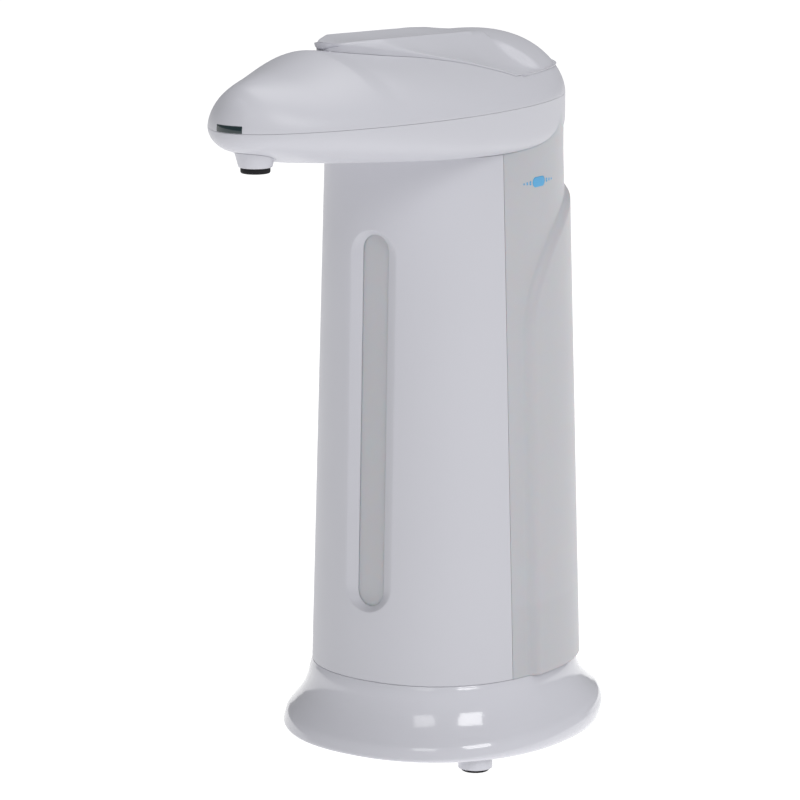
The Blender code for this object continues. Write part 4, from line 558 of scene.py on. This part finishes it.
def lift(share, power):
    # a section's height over its width share; a pointed one has its peak blunted
    blunt = head["peakBlunt"] if power < head["peakPower"] else 0.0
    s = math.sqrt(share ** 2 + blunt ** 2 * (1 - share ** 2))
    return max(0.0, (1 - min(1.0, s) ** power)) ** (1 / power) / (1 - blunt ** power) ** (1 / power)


def crownAt(x, y):
    share = min(1.0, abs(x) / max(headHalfAt(y), tiny))
    return head["seam"] + (crownTop(y) - head["seam"]) * lift(share, crownPower(y))


def lowerAt(x, y):
    share = min(1.0, abs(x) / max(headHalfAt(y), tiny))
    return head["seam"] + (lowerTop(y) - head["seam"]) * lift(share, lowerPower(y))


# Lid outline

lid = {
    "frontY": -76.6 * mm, "cornerY": -9.5 * mm, "seam": 251.7 * mm, "wall": 0.9 * mm,
    # the ridges' height along the lid, and the rim's height over the crown
    "spine": ((-76.6 * mm, 266.7 * mm), (-72.0 * mm, 267.1 * mm), (-66.0 * mm, 267.6 * mm),
              (-58.0 * mm, 267.8 * mm), (-40.0 * mm, 267.2 * mm), (-10.0 * mm, 266.0 * mm)),
    "lips": ((-74.0 * mm, 3.8 * mm), (-56.0 * mm, 2.6 * mm), (-36.0 * mm, 1.2 * mm), (-9.5 * mm, 0.6 * mm),
             (0.0, 0.0)),
    # the leaf's half width on its way from the front to its corners, both as shares
    "leafMarks": ((0.0, 0.0), (0.009, 0.062), (0.03, 0.092), (0.0686, 0.14), (0.128, 0.215), (0.188, 0.287),
                  (0.247, 0.357), (0.345, 0.455), (0.47, 0.56), (0.60, 0.675), (0.73, 0.79), (0.86, 0.90),
                  (1.0, 1.0)),
    "tipShares": (0.002, 0.006, 0.012, 0.02, 0.03, 0.045, 0.06),
    "ridgeHeight": 266.0 * mm, "ridgeHalf": 12.5 * mm, "ridgeCornerShare": 0.80, "dish": 1.6 * mm,
    "frontRun": 3.0, "flankPower": 1.7, "bluntPower": 3, "shoulderY": 6.3 * mm, "shoulderEdgeY": 10.8 * mm,
    "shoulderRun": 3.6 * mm, "edgeRound": 0.9 * mm, "leastRound": 0.2 * mm, "lipRound": 0.4, "rimRound": 0.9,
    "slopeStep": 0.05 * mm, "foreSteps": 56, "rearSteps": 60, "foreCrowding": 2.2, "flankCrowding": 1.9,
    # radius and half length of the hinge's room in each shell, and of the lid's barrel
    "hingeY": 46.067 * mm, "lidWay": (2.3 * mm, 10.2 * mm), "headWay": (3.8 * mm, 16.3 * mm), "waySteps": 40,
    "barrel": (1.9 * mm, 4.85 * mm), "barrelSteps": 32, "barrelEdge": 0.25 * mm,
}


def seamHalf(y):
    # half width of the crown where the lid's level seam runs round it
    rise = crownTop(y) - head["seam"]
    if rise <= lid["seam"] - head["seam"]:
        return 0.0
    share = (lid["seam"] - head["seam"]) / rise
    power = crownPower(y)
    return headHalfAt(y) * halve(lambda s: lift(s, power) > share, 0.0, 1.0)


cornerHalf = seamHalf(lid["cornerY"])
lidRearY = halve(lambda y: crownTop(y) > lid["seam"], head["fallY"], head["rearReach"])


def lidHalf(y):
    if y <= lid["frontY"]:
        return 0.0
    if y < lid["cornerY"]:
        along = (y - lid["frontY"]) / (lid["cornerY"] - lid["frontY"])
        first = lid["leafMarks"][1]
        if along < first[0]:
            return cornerHalf * first[1] * math.sqrt(along / first[0])
        return cornerHalf * smoothMarks(lid["leafMarks"], along)
    return seamHalf(y)


# Head shells

def headStations(nose, rear):
    # places along the head, closer together towards the nose's tip and the rear
    places = []
    for i in range(nose + 1):
        places.append(noseOutline((i / nose) ** head["noseCrowding"])[1])
    for i in range(1, rear + 1):
        a = math.pi / 2 * (1 - (1 - i / rear) ** head["rearCrowding"])
        reach = math.sin(a) ** (2 / head["rearPower"])
        places.append(head["widestY"] + (head["rearReach"] - head["widestY"]) * reach)
    return places


def makeHeadLower():
    stations = headStations(nose=70, rear=50)
    across = 96

    def place(i, j):
        y = stations[j]
        power = lowerPower(y)
        x, up = ovalPoint(math.pi * i / across, headHalfAt(y), 1.0, power)
        base = head["seam"] - gap / 2
        return placed(x, y, base + min(0.0, lowerTop(y) - base) * up)
    inner = placed(0.0, middleY["head"], head["seam"])
    shape = mappedSheet(across, len(stations) - 1, place, outFrom=inner)
    # the ways down through the filler and out through the spout
    holes = ((head["fillerY"], head["fillerRadius"]), (spout["centre"][1], spout["plug"]))
    inside = [face for face in shape.faces
              if any((face.calc_center_median() - placed(0.0, y, 0.0)).to_2d().length < radius
                     for y, radius in holes)]
    bmesh.ops.delete(shape, geom=inside, context="FACES")
    addPiece("headLowerShell", shape, "satinWhite", stands=["head_lower_shell"],
             wall=head["wall"], edge=0.2 * mm, creaseDegrees=60.0)


def crownEdge(y):
    # where the upper shell ends beside the lid
    if y <= lid["frontY"] - gap or y >= lidRearY:
        return 0.0
    if y < lid["frontY"]:
        return gap
    return lidHalf(y) + gap


def makeHeadUpper():
    front, run = lid["frontY"], lid["cornerY"] - lid["frontY"]
    marked = {front - gap, front - gap / 2, front, head["kinkY"], lid["cornerY"], lidRearY}
    marked |= {front + run * share for share in lid["tipShares"]}
    stations = sorted(marked.union(headStations(nose=80, rear=60)))
    side, middle = 44, 2

    def place(i, j):
        y = stations[j]
        power = crownPower(y)
        half = headHalfAt(y)
        edge = min(crownEdge(y), half)
        edgeAngle = math.acos(min(1.0, (edge / max(half, tiny))) ** (power / 2))
        if i <= side:
            x = ovalPoint(edgeAngle * i / side, half, 1.0, power)[0]
        elif i >= side + middle:
            x = -ovalPoint(edgeAngle * (2 * side + middle - i) / side, half, 1.0, power)[0]
        else:
            x = 0.0
        base = head["seam"] + gap / 2
        share = min(1.0, abs(x) / max(half, tiny))
        return placed(x, y, base + max(0.0, crownTop(y) - base) * lift(share, power))
    inner = placed(0.0, middleY["head"], head["seam"])
    shape = mappedSheet(2 * side + middle, len(stations) - 1, place, outFrom=inner)
    inside = []
    for face in shape.faces:
        centre = face.calc_center_median()
        opened = abs(centre.x) < crownEdge(centre.y - axisY) - gap / 3
        if opened and min(abs(vert.co.x) for vert in face.verts) < tiny:
            inside.append(face)
    bmesh.ops.delete(shape, geom=inside, context="FACES")
    shell = addPiece("headUpperShell", shape, "satinWhite", stands=["head_upper_shell"],
                     wall=head["wall"], edge=0.2 * mm, creaseDegrees=60.0)
    carveHingeWay(shell, *lid["headWay"])


def crossBarrel(radius, half, steps):
    # a closed cylinder that lies across the head
    barrel = bmesh.new()
    bmesh.ops.create_cone(barrel, cap_ends=True, segments=steps, radius1=radius, radius2=radius,
                          depth=2 * half)
    bmesh.ops.rotate(barrel, verts=barrel.verts, matrix=Matrix.Rotation(math.pi / 2, 3, "Y"))
    return barrel


def carveHingeWay(piece, radius, half):
    # the room that the hinge's barrel turns in, cut through a shell's rim
    cutter = crossBarrel(radius, half, lid["waySteps"])
    bmesh.ops.translate(cutter, verts=cutter.verts, vec=placed(0.0, lid["hingeY"], lid["seam"]))
    tool = meshObject("hingeWay", cutter)
    cut = piece.modifiers.new("hingeWay", "BOOLEAN")
    cut.operation = "DIFFERENCE"
    cut.solver = "EXACT"
    cut.object = tool
    bpy.context.view_layer.update()
    shaped = piece.evaluated_get(bpy.context.evaluated_depsgraph_get())
    data = bpy.data.meshes.new_from_object(shaped)
    piece.modifiers.clear()
    piece.data = data
    bpy.data.objects.remove(tool)


# Lid

def lidSpine(y):
    # the height of the ridges, and of the crown that they run out into
    if y < head["fallY"]:
        return smoothMarks(lid["spine"], y)
    seam = head["seam"]
    return seam + (crownTop(y) - seam) * (lid["ridgeHeight"] - seam) / (head["crown"] - seam)


def lidRidge(y):
    # where the ridges stand, as a share of the lid's half width
    return min(lid["ridgeCornerShare"], lid["ridgeHalf"] / max(lidHalf(y), tiny))


def lidBase(y, half):
    # the rim's lower edge: on the crown, but level at the seam behind the corners
    return max(lid["seam"], crownAt(half, y)) if y < lid["cornerY"] else lid["seam"]


def lidTop(share, y, half):
    x = share * half
    base = lidBase(y, half)
    edge = base + smoothMarks(lid["lips"], y)
    spine = lidSpine(y)
    ridge = lidRidge(y)
    a = abs(share)
    front = smoothStep((y - lid["frontY"]) / (lid["ridgeHalf"] * lid["frontRun"]))
    if a > ridge:
        out = (1 - a) / (1 - ridge)
        scooped = edge + (spine - edge) * out ** lid["flankPower"]
        blunt = spine - (spine - edge) * (1 - out) ** lid["bluntPower"]
        height = blunt + (scooped - blunt) * front
    else:
        behind = 1 - smoothStep((y - head["fallY"]) / (lid["shoulderY"] - head["fallY"]))
        height = spine - lid["dish"] * (1 - (a / ridge) ** 2) * front * behind
    # behind the shoulder the lid carries on the crown's own dome
    dome = max(crownAt(x, y), edge)
    across = smoothStep((a - ridge) / (1 - ridge))
    start = lid["shoulderY"] + (lid["shoulderEdgeY"] - lid["shoulderY"]) * across
    shoulder = smoothStep((y - start) / lid["shoulderRun"])
    return x, base, height + (dome - height) * shoulder


def makeLid():
    front, corner, fore, rear = lid["frontY"], lid["cornerY"], lid["foreSteps"], lid["rearSteps"]
    stations = [front + (corner - front) * (i / fore) ** lid["foreCrowding"] for i in range(fore + 1)]
    turns = [math.pi / 2 * (i / rear) for i in range(1, rear + 1)]
    stations += [corner + (lidRearY - corner) * math.sin(turn) for turn in turns]
    flank, dish = 26, 12
    last = 2 * (flank + dish) + 2

    def shareAt(i, ridge):
        if i <= flank:
            return 1 - (1 - ridge) * (i / flank) ** lid["flankCrowding"]
        return ridge * (1 - (i - flank) / dish)

    def place(i, j):
        y = stations[j]
        half = lidHalf(y)
        if i in (0, last):
            return placed(half if i == 0 else -half, y, lidBase(y, half) + gap / 2)
        k = i - 1
        side = 1 if k <= flank + dish else -1
        share = shareAt(k if side > 0 else 2 * (flank + dish) - k, lidRidge(y))
        x, base, height = lidTop(share, y, half)
        # round the rim over, by the true distance in from the outline
        step = lid["slopeStep"]
        slope = (lidHalf(y + step) - lidHalf(y - step)) / (2 * step)
        reach = (half - x) / math.sqrt(1 + slope ** 2)
        room = min(lid["edgeRound"], lid["leastRound"] + lid["lipRound"] * smoothMarks(lid["lips"], y),
                   (height - base) * lid["rimRound"])
        if reach < room:
            height -= room - math.sqrt(max(0.0, room ** 2 - (room - reach) ** 2))
        return placed(side * x, y, height)
    shape = mappedSheet(last, len(stations) - 1, place, outFrom=placed(0.0, middleY["lid"], lid["seam"]))
    cover = addPiece("refillLid", shape, "satinWhite", body="lid", stands=["refill_lid"],
                     wall=lid["wall"], edge=0.15 * mm, creaseDegrees=50.0)
    carveHingeWay(cover, *lid["lidWay"])
    # one barrel under the lid's rim, round the pin
    barrel = crossBarrel(*lid["barrel"], lid["barrelSteps"])
    rims = [edge for edge in barrel.edges if edge.calc_face_angle(0.0) > 1.0]
    bmesh.ops.bevel(barrel, geom=rims, offset=lid["barrelEdge"], affect="EDGES", segments=2, profile=0.5,
                    material=-1)
    bmesh.ops.translate(barrel, verts=barrel.verts, vec=placed(0.0, lid["hingeY"], lid["seam"]))
    addPiece("lidBarrel", barrel, "satinWhite", body="lid", stands=["refill_lid"])


# Spout and nozzle

spout = {
    "centre": (0.0, -115.3 * mm), "plug": 5.8 * mm, "topRadius": 7.2 * mm, "footRadius": 6.0 * mm,
    "footHeight": 228.4 * mm, "flange": 238.6 * mm, "seat": 2.35 * mm, "socket": 4.35 * mm,
    "socketTop": 234.4 * mm, "footRound": 0.6 * mm, "flareRise": 4.5 * mm, "flareShares": (0.3, 0.6, 0.85),
    "steps": 72,
}
nozzle = {
    "radius": 5.2 * mm, "low": 226.4 * mm, "round": 0.6 * mm, "stem": 4.2 * mm, "stemTop": 234.1 * mm,
    "bore": 1.6 * mm, "cupShares": (0.62, 0.5), "cupRise": 0.5 * mm,
}


def makeSpout():
    radius, top = spout["footRadius"], spout["topRadius"]
    low, rounding = spout["footHeight"], spout["footRound"]
    profile = [(spout["seat"], spout["flange"]), (spout["plug"], spout["flange"]), (spout["plug"], None),
               (top, None)]
    for share in spout["flareShares"]:
        rise = (1 - share) * spout["flareRise"]
        profile.append((top + (radius - top) * share, low + rounding + rise))
    profile += roundedFoot(radius, low, rounding)
    profile += [(spout["socket"], low), (spout["socket"], spout["socketTop"]),
                (spout["seat"], spout["socketTop"])]
    shape = turnedPiece(profile, spout["centre"], spout["steps"], topAt=lambda x, y: lowerAt(x, y) - gap)
    addPiece("spout", shape, "satinWhite", stands=["spout"])


def makeNozzle():
    radius, low, bore, stem, stemTop = (nozzle[key] for key in ("radius", "low", "bore", "stem", "stemTop"))
    brim, cup = spout["footHeight"] - gap, low + nozzle["cupRise"]
    outer, inner = nozzle["cupShares"]
    profile = [(bore, stemTop), (stem, stemTop), (stem, brim), (radius, brim)]
    profile += roundedFoot(radius, low, nozzle["round"])
    profile += [(radius * outer, low), (radius * inner, cup), (bore, cup)]
    addPiece("nozzleTip", turnedPiece(profile, spout["centre"], spout["steps"]), "blackRubber",
             stands=["nozzle_tip"])


makeHeadLower()
makeHeadUpper()
makeLid()
makeSpout()
makeNozzle()

window = {
    "centreX": -0.6 * mm, "halfWidth": 5.6 * mm, "low": 241.75 * mm, "high": 244.3 * mm, "proud": 0.12 * mm,
    "thick": 1.0 * mm, "searchTo": -90.0 * mm, "columns": 40, "rows": 10,
}


def makeWindow():
    # a dark strip let into the nose, following its curve
    columns, rows = window["columns"], window["rows"]

    def place(i, j):
        x = window["centreX"] + window["halfWidth"] * (2 * i / columns - 1)
        z = window["low"] + (window["high"] - window["low"]) * j / rows
        y = halve(lambda at: crownAt(x, at) < z, -head["noseReach"], window["searchTo"])
        return placed(x, y - window["proud"], z)
    shape = mappedSheet(columns, rows, place, outFrom=placed(0.0, middleY["nose"], head["seam"]))
    addPiece("sensorWindow", shape, "darkWindow", stands=["sensor_window"],
             wall=window["thick"], edge=0.12 * mm)


makeWindow()
print("head made")

# Front shell with its level slot

frontShell = {
    "wall": 2.6 * mm, "edgeY": -18.7 * mm, "cornerRun": 12.0 * mm, "topMargin": 0.1 * mm,
    "slotHalf": 9.75 * mm, "slotLow": 57.5 * mm, "slotHigh": 197.3 * mm, "windowHalf": 5.8 * mm,
    "endStep": 1.8 * mm,
    # half width and depth of the slot's slope in mm, and the half widths of its back
    "slope": ((11.2, 0.0), (10.5, 0.0), (10.0, 0.02), (9.7, 0.12), (9.3, 0.32), (8.4, 0.84), (7.4, 1.42),
              (6.5, 1.95), (6.05, 2.2), (5.85, 2.32), (5.8, 2.45), (5.8, 2.6)),
    "back": (6.6, 8.0, 10.0), "outerRings": 22, "outerCrowding": 0.8, "innerRings": 8,
}


def makeFrontShell():
    low, wall, back = column["seamHeight"] + gap, frontShell["wall"], frontShell["back"]
    outer, inner, slopeOut = frontShell["outerRings"], frontShell["innerRings"], frontShell["slope"][0][0]
    straight, arc = 60, 48  # points along each side of the slot and round each end
    around = 2 * (straight + arc)
    # rings from the shell's border in to the slot, down its slope, and back out along the inside,
    # each with its slot's half width, its share of the way to the border and its depth
    rings = [(slopeOut * mm, 1 - (i / outer) ** frontShell["outerCrowding"], 0.0) for i in range(outer)]
    rings += [(half * mm, 0.0, depth * mm) for half, depth in frontShell["slope"]]
    rings += [(half * mm, 0.0, wall) for half in back]
    rings += [(back[-1] * mm, i / inner, wall) for i in range(1, inner + 1)]

    def slotPoint(i, half):
        # a round-ended slot whose ends draw in as it narrows
        share = (frontShell["slotHalf"] - half) / (frontShell["slotHalf"] - frontShell["windowHalf"])
        step = frontShell["endStep"] * share
        top, bottom = frontShell["slotHigh"] - step - half, frontShell["slotLow"] + step + half
        if i < straight:
            return half, bottom + (top - bottom) * i / straight
        if i < straight + arc:
            a = math.pi * (i - straight) / arc
            return half * math.cos(a), top + half * math.sin(a)
        if i < 2 * straight + arc:
            return -half, top - (top - bottom) * (i - straight - arc) / straight
        a = math.pi * (i - 2 * straight - arc) / arc
        return -half * math.cos(a), bottom - half * math.sin(a)

    # the border in angle and height, leg by leg: right side, top, left side, bottom
    quarter, run, top = arc // 4, frontShell["cornerRun"], column["topHeight"]
    sideLow, sideHigh = frontShell["slotLow"] + run, frontShell["slotHigh"] - run
    corners = [(1.0, sideLow), (1.0, sideHigh), (1.0, top), (-1.0, top), (-1.0, sideHigh), (-1.0, sideLow),
               (-1.0, low), (1.0, low), (1.0, sideLow)]
    counts = (straight, quarter, arc - 2 * quarter, quarter) * 2

    def borderPoint(i):
        for count, start, end in zip(counts, corners, corners[1:]):
            if i < count:
                return [a + (b - a) * i / count for a, b in zip(start, end)]
            i -= count

    def place(i, j):
        i %= around
        half, outward, depth = rings[j % len(rings)]
        x, z = slotPoint(i, half)
        angle = angleAcross(x, z)
        acrossShare, borderZ = borderPoint(i)
        z = z + (borderZ - z) * outward
        edge = math.pi / 2 + angleAtDepth(frontShell["edgeY"], z)
        borderAngle = -math.pi / 2 + acrossShare * edge
        angle = angle + (borderAngle - angle) * outward
        x, y = columnPoint(angle, z, depth)
        if z > column["topHeight"] - frontShell["topMargin"]:
            z = lowerAt(x, y) - gap
        return placed(x, y, z)
    shape = mappedSheet(around, len(rings), place)
    addPiece("frontShell", shape, "satinWhite", stands=["front_shell"],
             edge=0.3 * mm, creaseDegrees=50.0)


makeFrontShell()

# Tank

tank = {
    "wall": 2.2 * mm, "floorTop": 58.3 * mm, "floorThick": 2.5 * mm, "channelDepth": 6.2 * mm,
    "channelFrom": 12.5 * mm, "channelTo": 27.0 * mm, "channelSlope": 1.5 * mm,
    "archY": -10.5 * mm, "archBevel": 3.3 * mm, "archSpring": 160.0 * mm, "archRise": 50.6 * mm,
    "archProud": 2.2 * mm, "archPower": 1.75, "archStraight": 0.6,
    "steps": 96, "sideSteps": 8, "channelSteps": 6, "innerRows": 12,
    # rows stand closer above this height, for the arch
    "closeFrom": 150.0 * mm, "lowRows": 24, "closeRows": 96,
}


def archRaise(y, height):
    # how far the raised panel stands out at a place on the tank's side
    endY = column["topHalf"][1] + tank["archProud"]
    length, power = endY - tank["archY"], tank["archPower"]
    across = max(0.0, (endY - y) / length)
    over = max(0.0, (height - tank["archSpring"]) / tank["archRise"])
    value = across ** power + over ** power
    steep = math.hypot(power * across ** (power - 1) / length,
                       power * over ** (power - 1) / tank["archRise"] if over > 0.0 else 0.0)
    inside = (1 - value) / max(steep, 1.0)
    t = max(0.0, min(1.0, inside / tank["archBevel"]))
    straight = tank["archStraight"]
    return tank["archProud"] * (straight * t + (1 - straight) * smoothStep(t))


def tankAngles(height):
    # angle and inset of each point round half the tank, from the rear middle to the front middle
    edge = angleAtDepth(frontShell["edgeY"] + gap, height)
    shallow = frontShell["wall"] + gap
    deep = shallow + tank["channelDepth"]
    outer, inner = (angleAcross(tank[key], height) for key in ("channelTo", "channelFrom"))
    outerDeep = angleAcross(tank["channelTo"] - tank["channelSlope"], height)
    innerDeep = angleAcross(tank["channelFrom"] + tank["channelSlope"], height)
    runs = ((math.pi / 2, edge, tank["steps"], 0.0), (edge, outer, tank["sideSteps"], shallow),
            (outerDeep, innerDeep, tank["channelSteps"], deep),
            (inner, -math.pi / 2, tank["sideSteps"], shallow))
    return [(start + (end - start) * i / count, inset)
            for start, end, count, inset in runs for i in range(count + 1)]


def makeTank():
    low, top, wall = column["seamHeight"] + gap, column["topHeight"], tank["wall"]
    floorTop, floorLow = tank["floorTop"], tank["floorTop"] - tank["floorThick"]
    close, lowRows, closeRows, innerRows = [
        tank[key] for key in ("closeFrom", "lowRows", "closeRows", "innerRows")]
    heights = [low + (close - low) * i / lowRows for i in range(lowRows + 1)]
    heights += [close + (top - close) * i / closeRows for i in range(1, closeRows + 1)]
    # share of the oval, height and inset, from the floor's middle up inside, down outside and back below
    rows = [(share, floorTop, wall) for share in (0.0, 0.5, 1.0)]
    rows += [(1.0, floorTop + (top - floorTop) * i / innerRows, wall) for i in range(1, innerRows + 1)]
    rows += [(1.0, height, 0.0) for height in reversed(heights)]
    rows += [(1.0, low, wall), (1.0, floorLow, wall), (0.5, floorLow, wall), (0.0, floorLow, wall)]
    half = len(tankAngles(low)) - 1
    cache = {}

    def place(i, j):
        share, height, inset = rows[j]
        if height not in cache:
            cache[height] = tankAngles(height)
        k = i if i <= half else 2 * half - i
        angle, depth = cache[height][k]
        x, y = columnPoint(angle, height, depth + inset)
        if inset == 0.0 and depth == 0.0:
            x, y = columnPoint(angle, height, -archRaise(y, height))
        x = x if i <= half else -x
        if height > top - tiny:
            height = lowerAt(x, y) - gap
        return placed(x * share, y * share, height)
    shape = mappedSheet(2 * half, len(rows) - 1, place)
    addPiece("tank", shape, "milkyTank", stands=["tank"], edge=0.25 * mm,
             creaseDegrees=50.0)


makeTank()

# Level mark: a plain pill with three shrinking ticks on each side, as print on the tank

levelMark = {
    "height": 213.0 * mm, "pill": (8.0 * mm, 3.7 * mm), "lift": 0.05 * mm, "thick": 0.04 * mm,
    # place, width and height of each tick, in mm
    "ticks": ((5.3, 1.1, 1.6), (7.2, 0.9, 1.15), (9.0, 0.8, 0.8)), "around": 48, "inward": 6,
}


def makeLevelMark():
    around, inward, level = levelMark["around"], levelMark["inward"], levelMark["height"]
    marks = [(0.0, *levelMark["pill"])]
    for side in (-1, 1):
        marks += [(side * at * mm, width * mm, tall * mm) for at, width, tall in levelMark["ticks"]]
    for k, (centreY, width, tall) in enumerate(marks):
        corner = min(width, tall) / 2

        def place(i, j):
            a, share = 2 * math.pi * i / around, j / inward
            across = corner * math.cos(a) + math.copysign(width / 2 - corner, math.cos(a))
            up = corner * math.sin(a) + math.copysign(tall / 2 - corner, math.sin(a))
            y, z = centreY + across * share, level + up * share
            return placed(columnPoint(angleAtDepth(y, z), z, -levelMark["lift"])[0], y, z)
        shape = mappedSheet(around, inward, place, outFrom=placed(0.0, 0.0, level))
        addPiece("levelMark_%d" % (k + 1), shape, "levelBlue", wall=levelMark["thick"])


makeLevelMark()
print("column made")

# Floor, lights and camera

stage = {
    "floorRadius": 12.0, "floorColour": (0.30, 0.30, 0.30), "floorRough": 0.7, "glowColour": (1.0, 1.0, 1.0),
    "floorGlow": 0.94, "worldColour": (0.98, 0.99, 1.0), "world": 0.26,
}


def makeStage():
    floor = bmesh.new()
    bmesh.ops.create_circle(floor, cap_ends=True, segments=64, radius=stage["floorRadius"])
    ground = meshObject("floor", floor)
    pale = bpy.data.materials.new("paleFloor")
    pale.use_nodes = True
    shader = pale.node_tree.nodes["Principled BSDF"]
    shader.inputs["Base Color"].default_value = (*stage["floorColour"], 1.0)
    shader.inputs["Roughness"].default_value = stage["floorRough"]
    shader.inputs["Emission Color"].default_value = (*stage["glowColour"], 1.0)
    shader.inputs["Emission Strength"].default_value = stage["floorGlow"]
    ground.data.materials.append(pale)
    world = bpy.data.worlds.new("studio")
    world.use_nodes = True
    background = world.node_tree.nodes["Background"]
    background.inputs["Color"].default_value = (*stage["worldColour"], 1.0)
    background.inputs["Strength"].default_value = stage["world"]
    bpy.context.scene.world = world
    bpy.context.scene.view_settings.view_transform = "Standard"


lights = {
    "keyRight": {"at": (1.95, -0.75, 1.5), "size": 0.9, "power": 16.0},
    "fillFront": {"at": (0.75, -2.05, 1.5), "size": 0.8, "power": 5.5},
    "top": {"at": (0.2, 0.3, 2.4), "size": 1.6, "power": 25.0},
}
lightAim = (0.0, 0.0, 0.12)


def makeLights():
    aim = Vector(lightAim)
    for name, look in lights.items():
        data = bpy.data.lights.new(name, "AREA")
        data.shape = "SQUARE"
        data.size = look["size"]
        data.energy = look["power"]
        light = bpy.data.objects.new(name, data)
        light.location = look["at"]
        light.rotation_euler = (aim - light.location).to_track_quat("-Z", "Y").to_euler()
        bpy.context.scene.collection.objects.link(light)


view = {
    "tilt": 11.401, "turn": 34.80, "at": (832.667 * mm, -1226.486 * mm, 426.797 * mm), "lens": 183.73,
    "sensorWidth": 36.0,
}


def makeCamera():
    data = bpy.data.cameras.new("camera")
    data.lens = view["lens"]
    data.sensor_width = view["sensorWidth"]
    camera = bpy.data.objects.new("camera", data)
    camera.location = placed(*view["at"])
    camera.rotation_euler = (math.radians(90.0 - view["tilt"]), 0.0, math.radians(view["turn"]))
    bpy.context.scene.collection.objects.link(camera)
    bpy.context.scene.camera = camera


makeStage()
makeLights()
makeCamera()

print("scene ready")
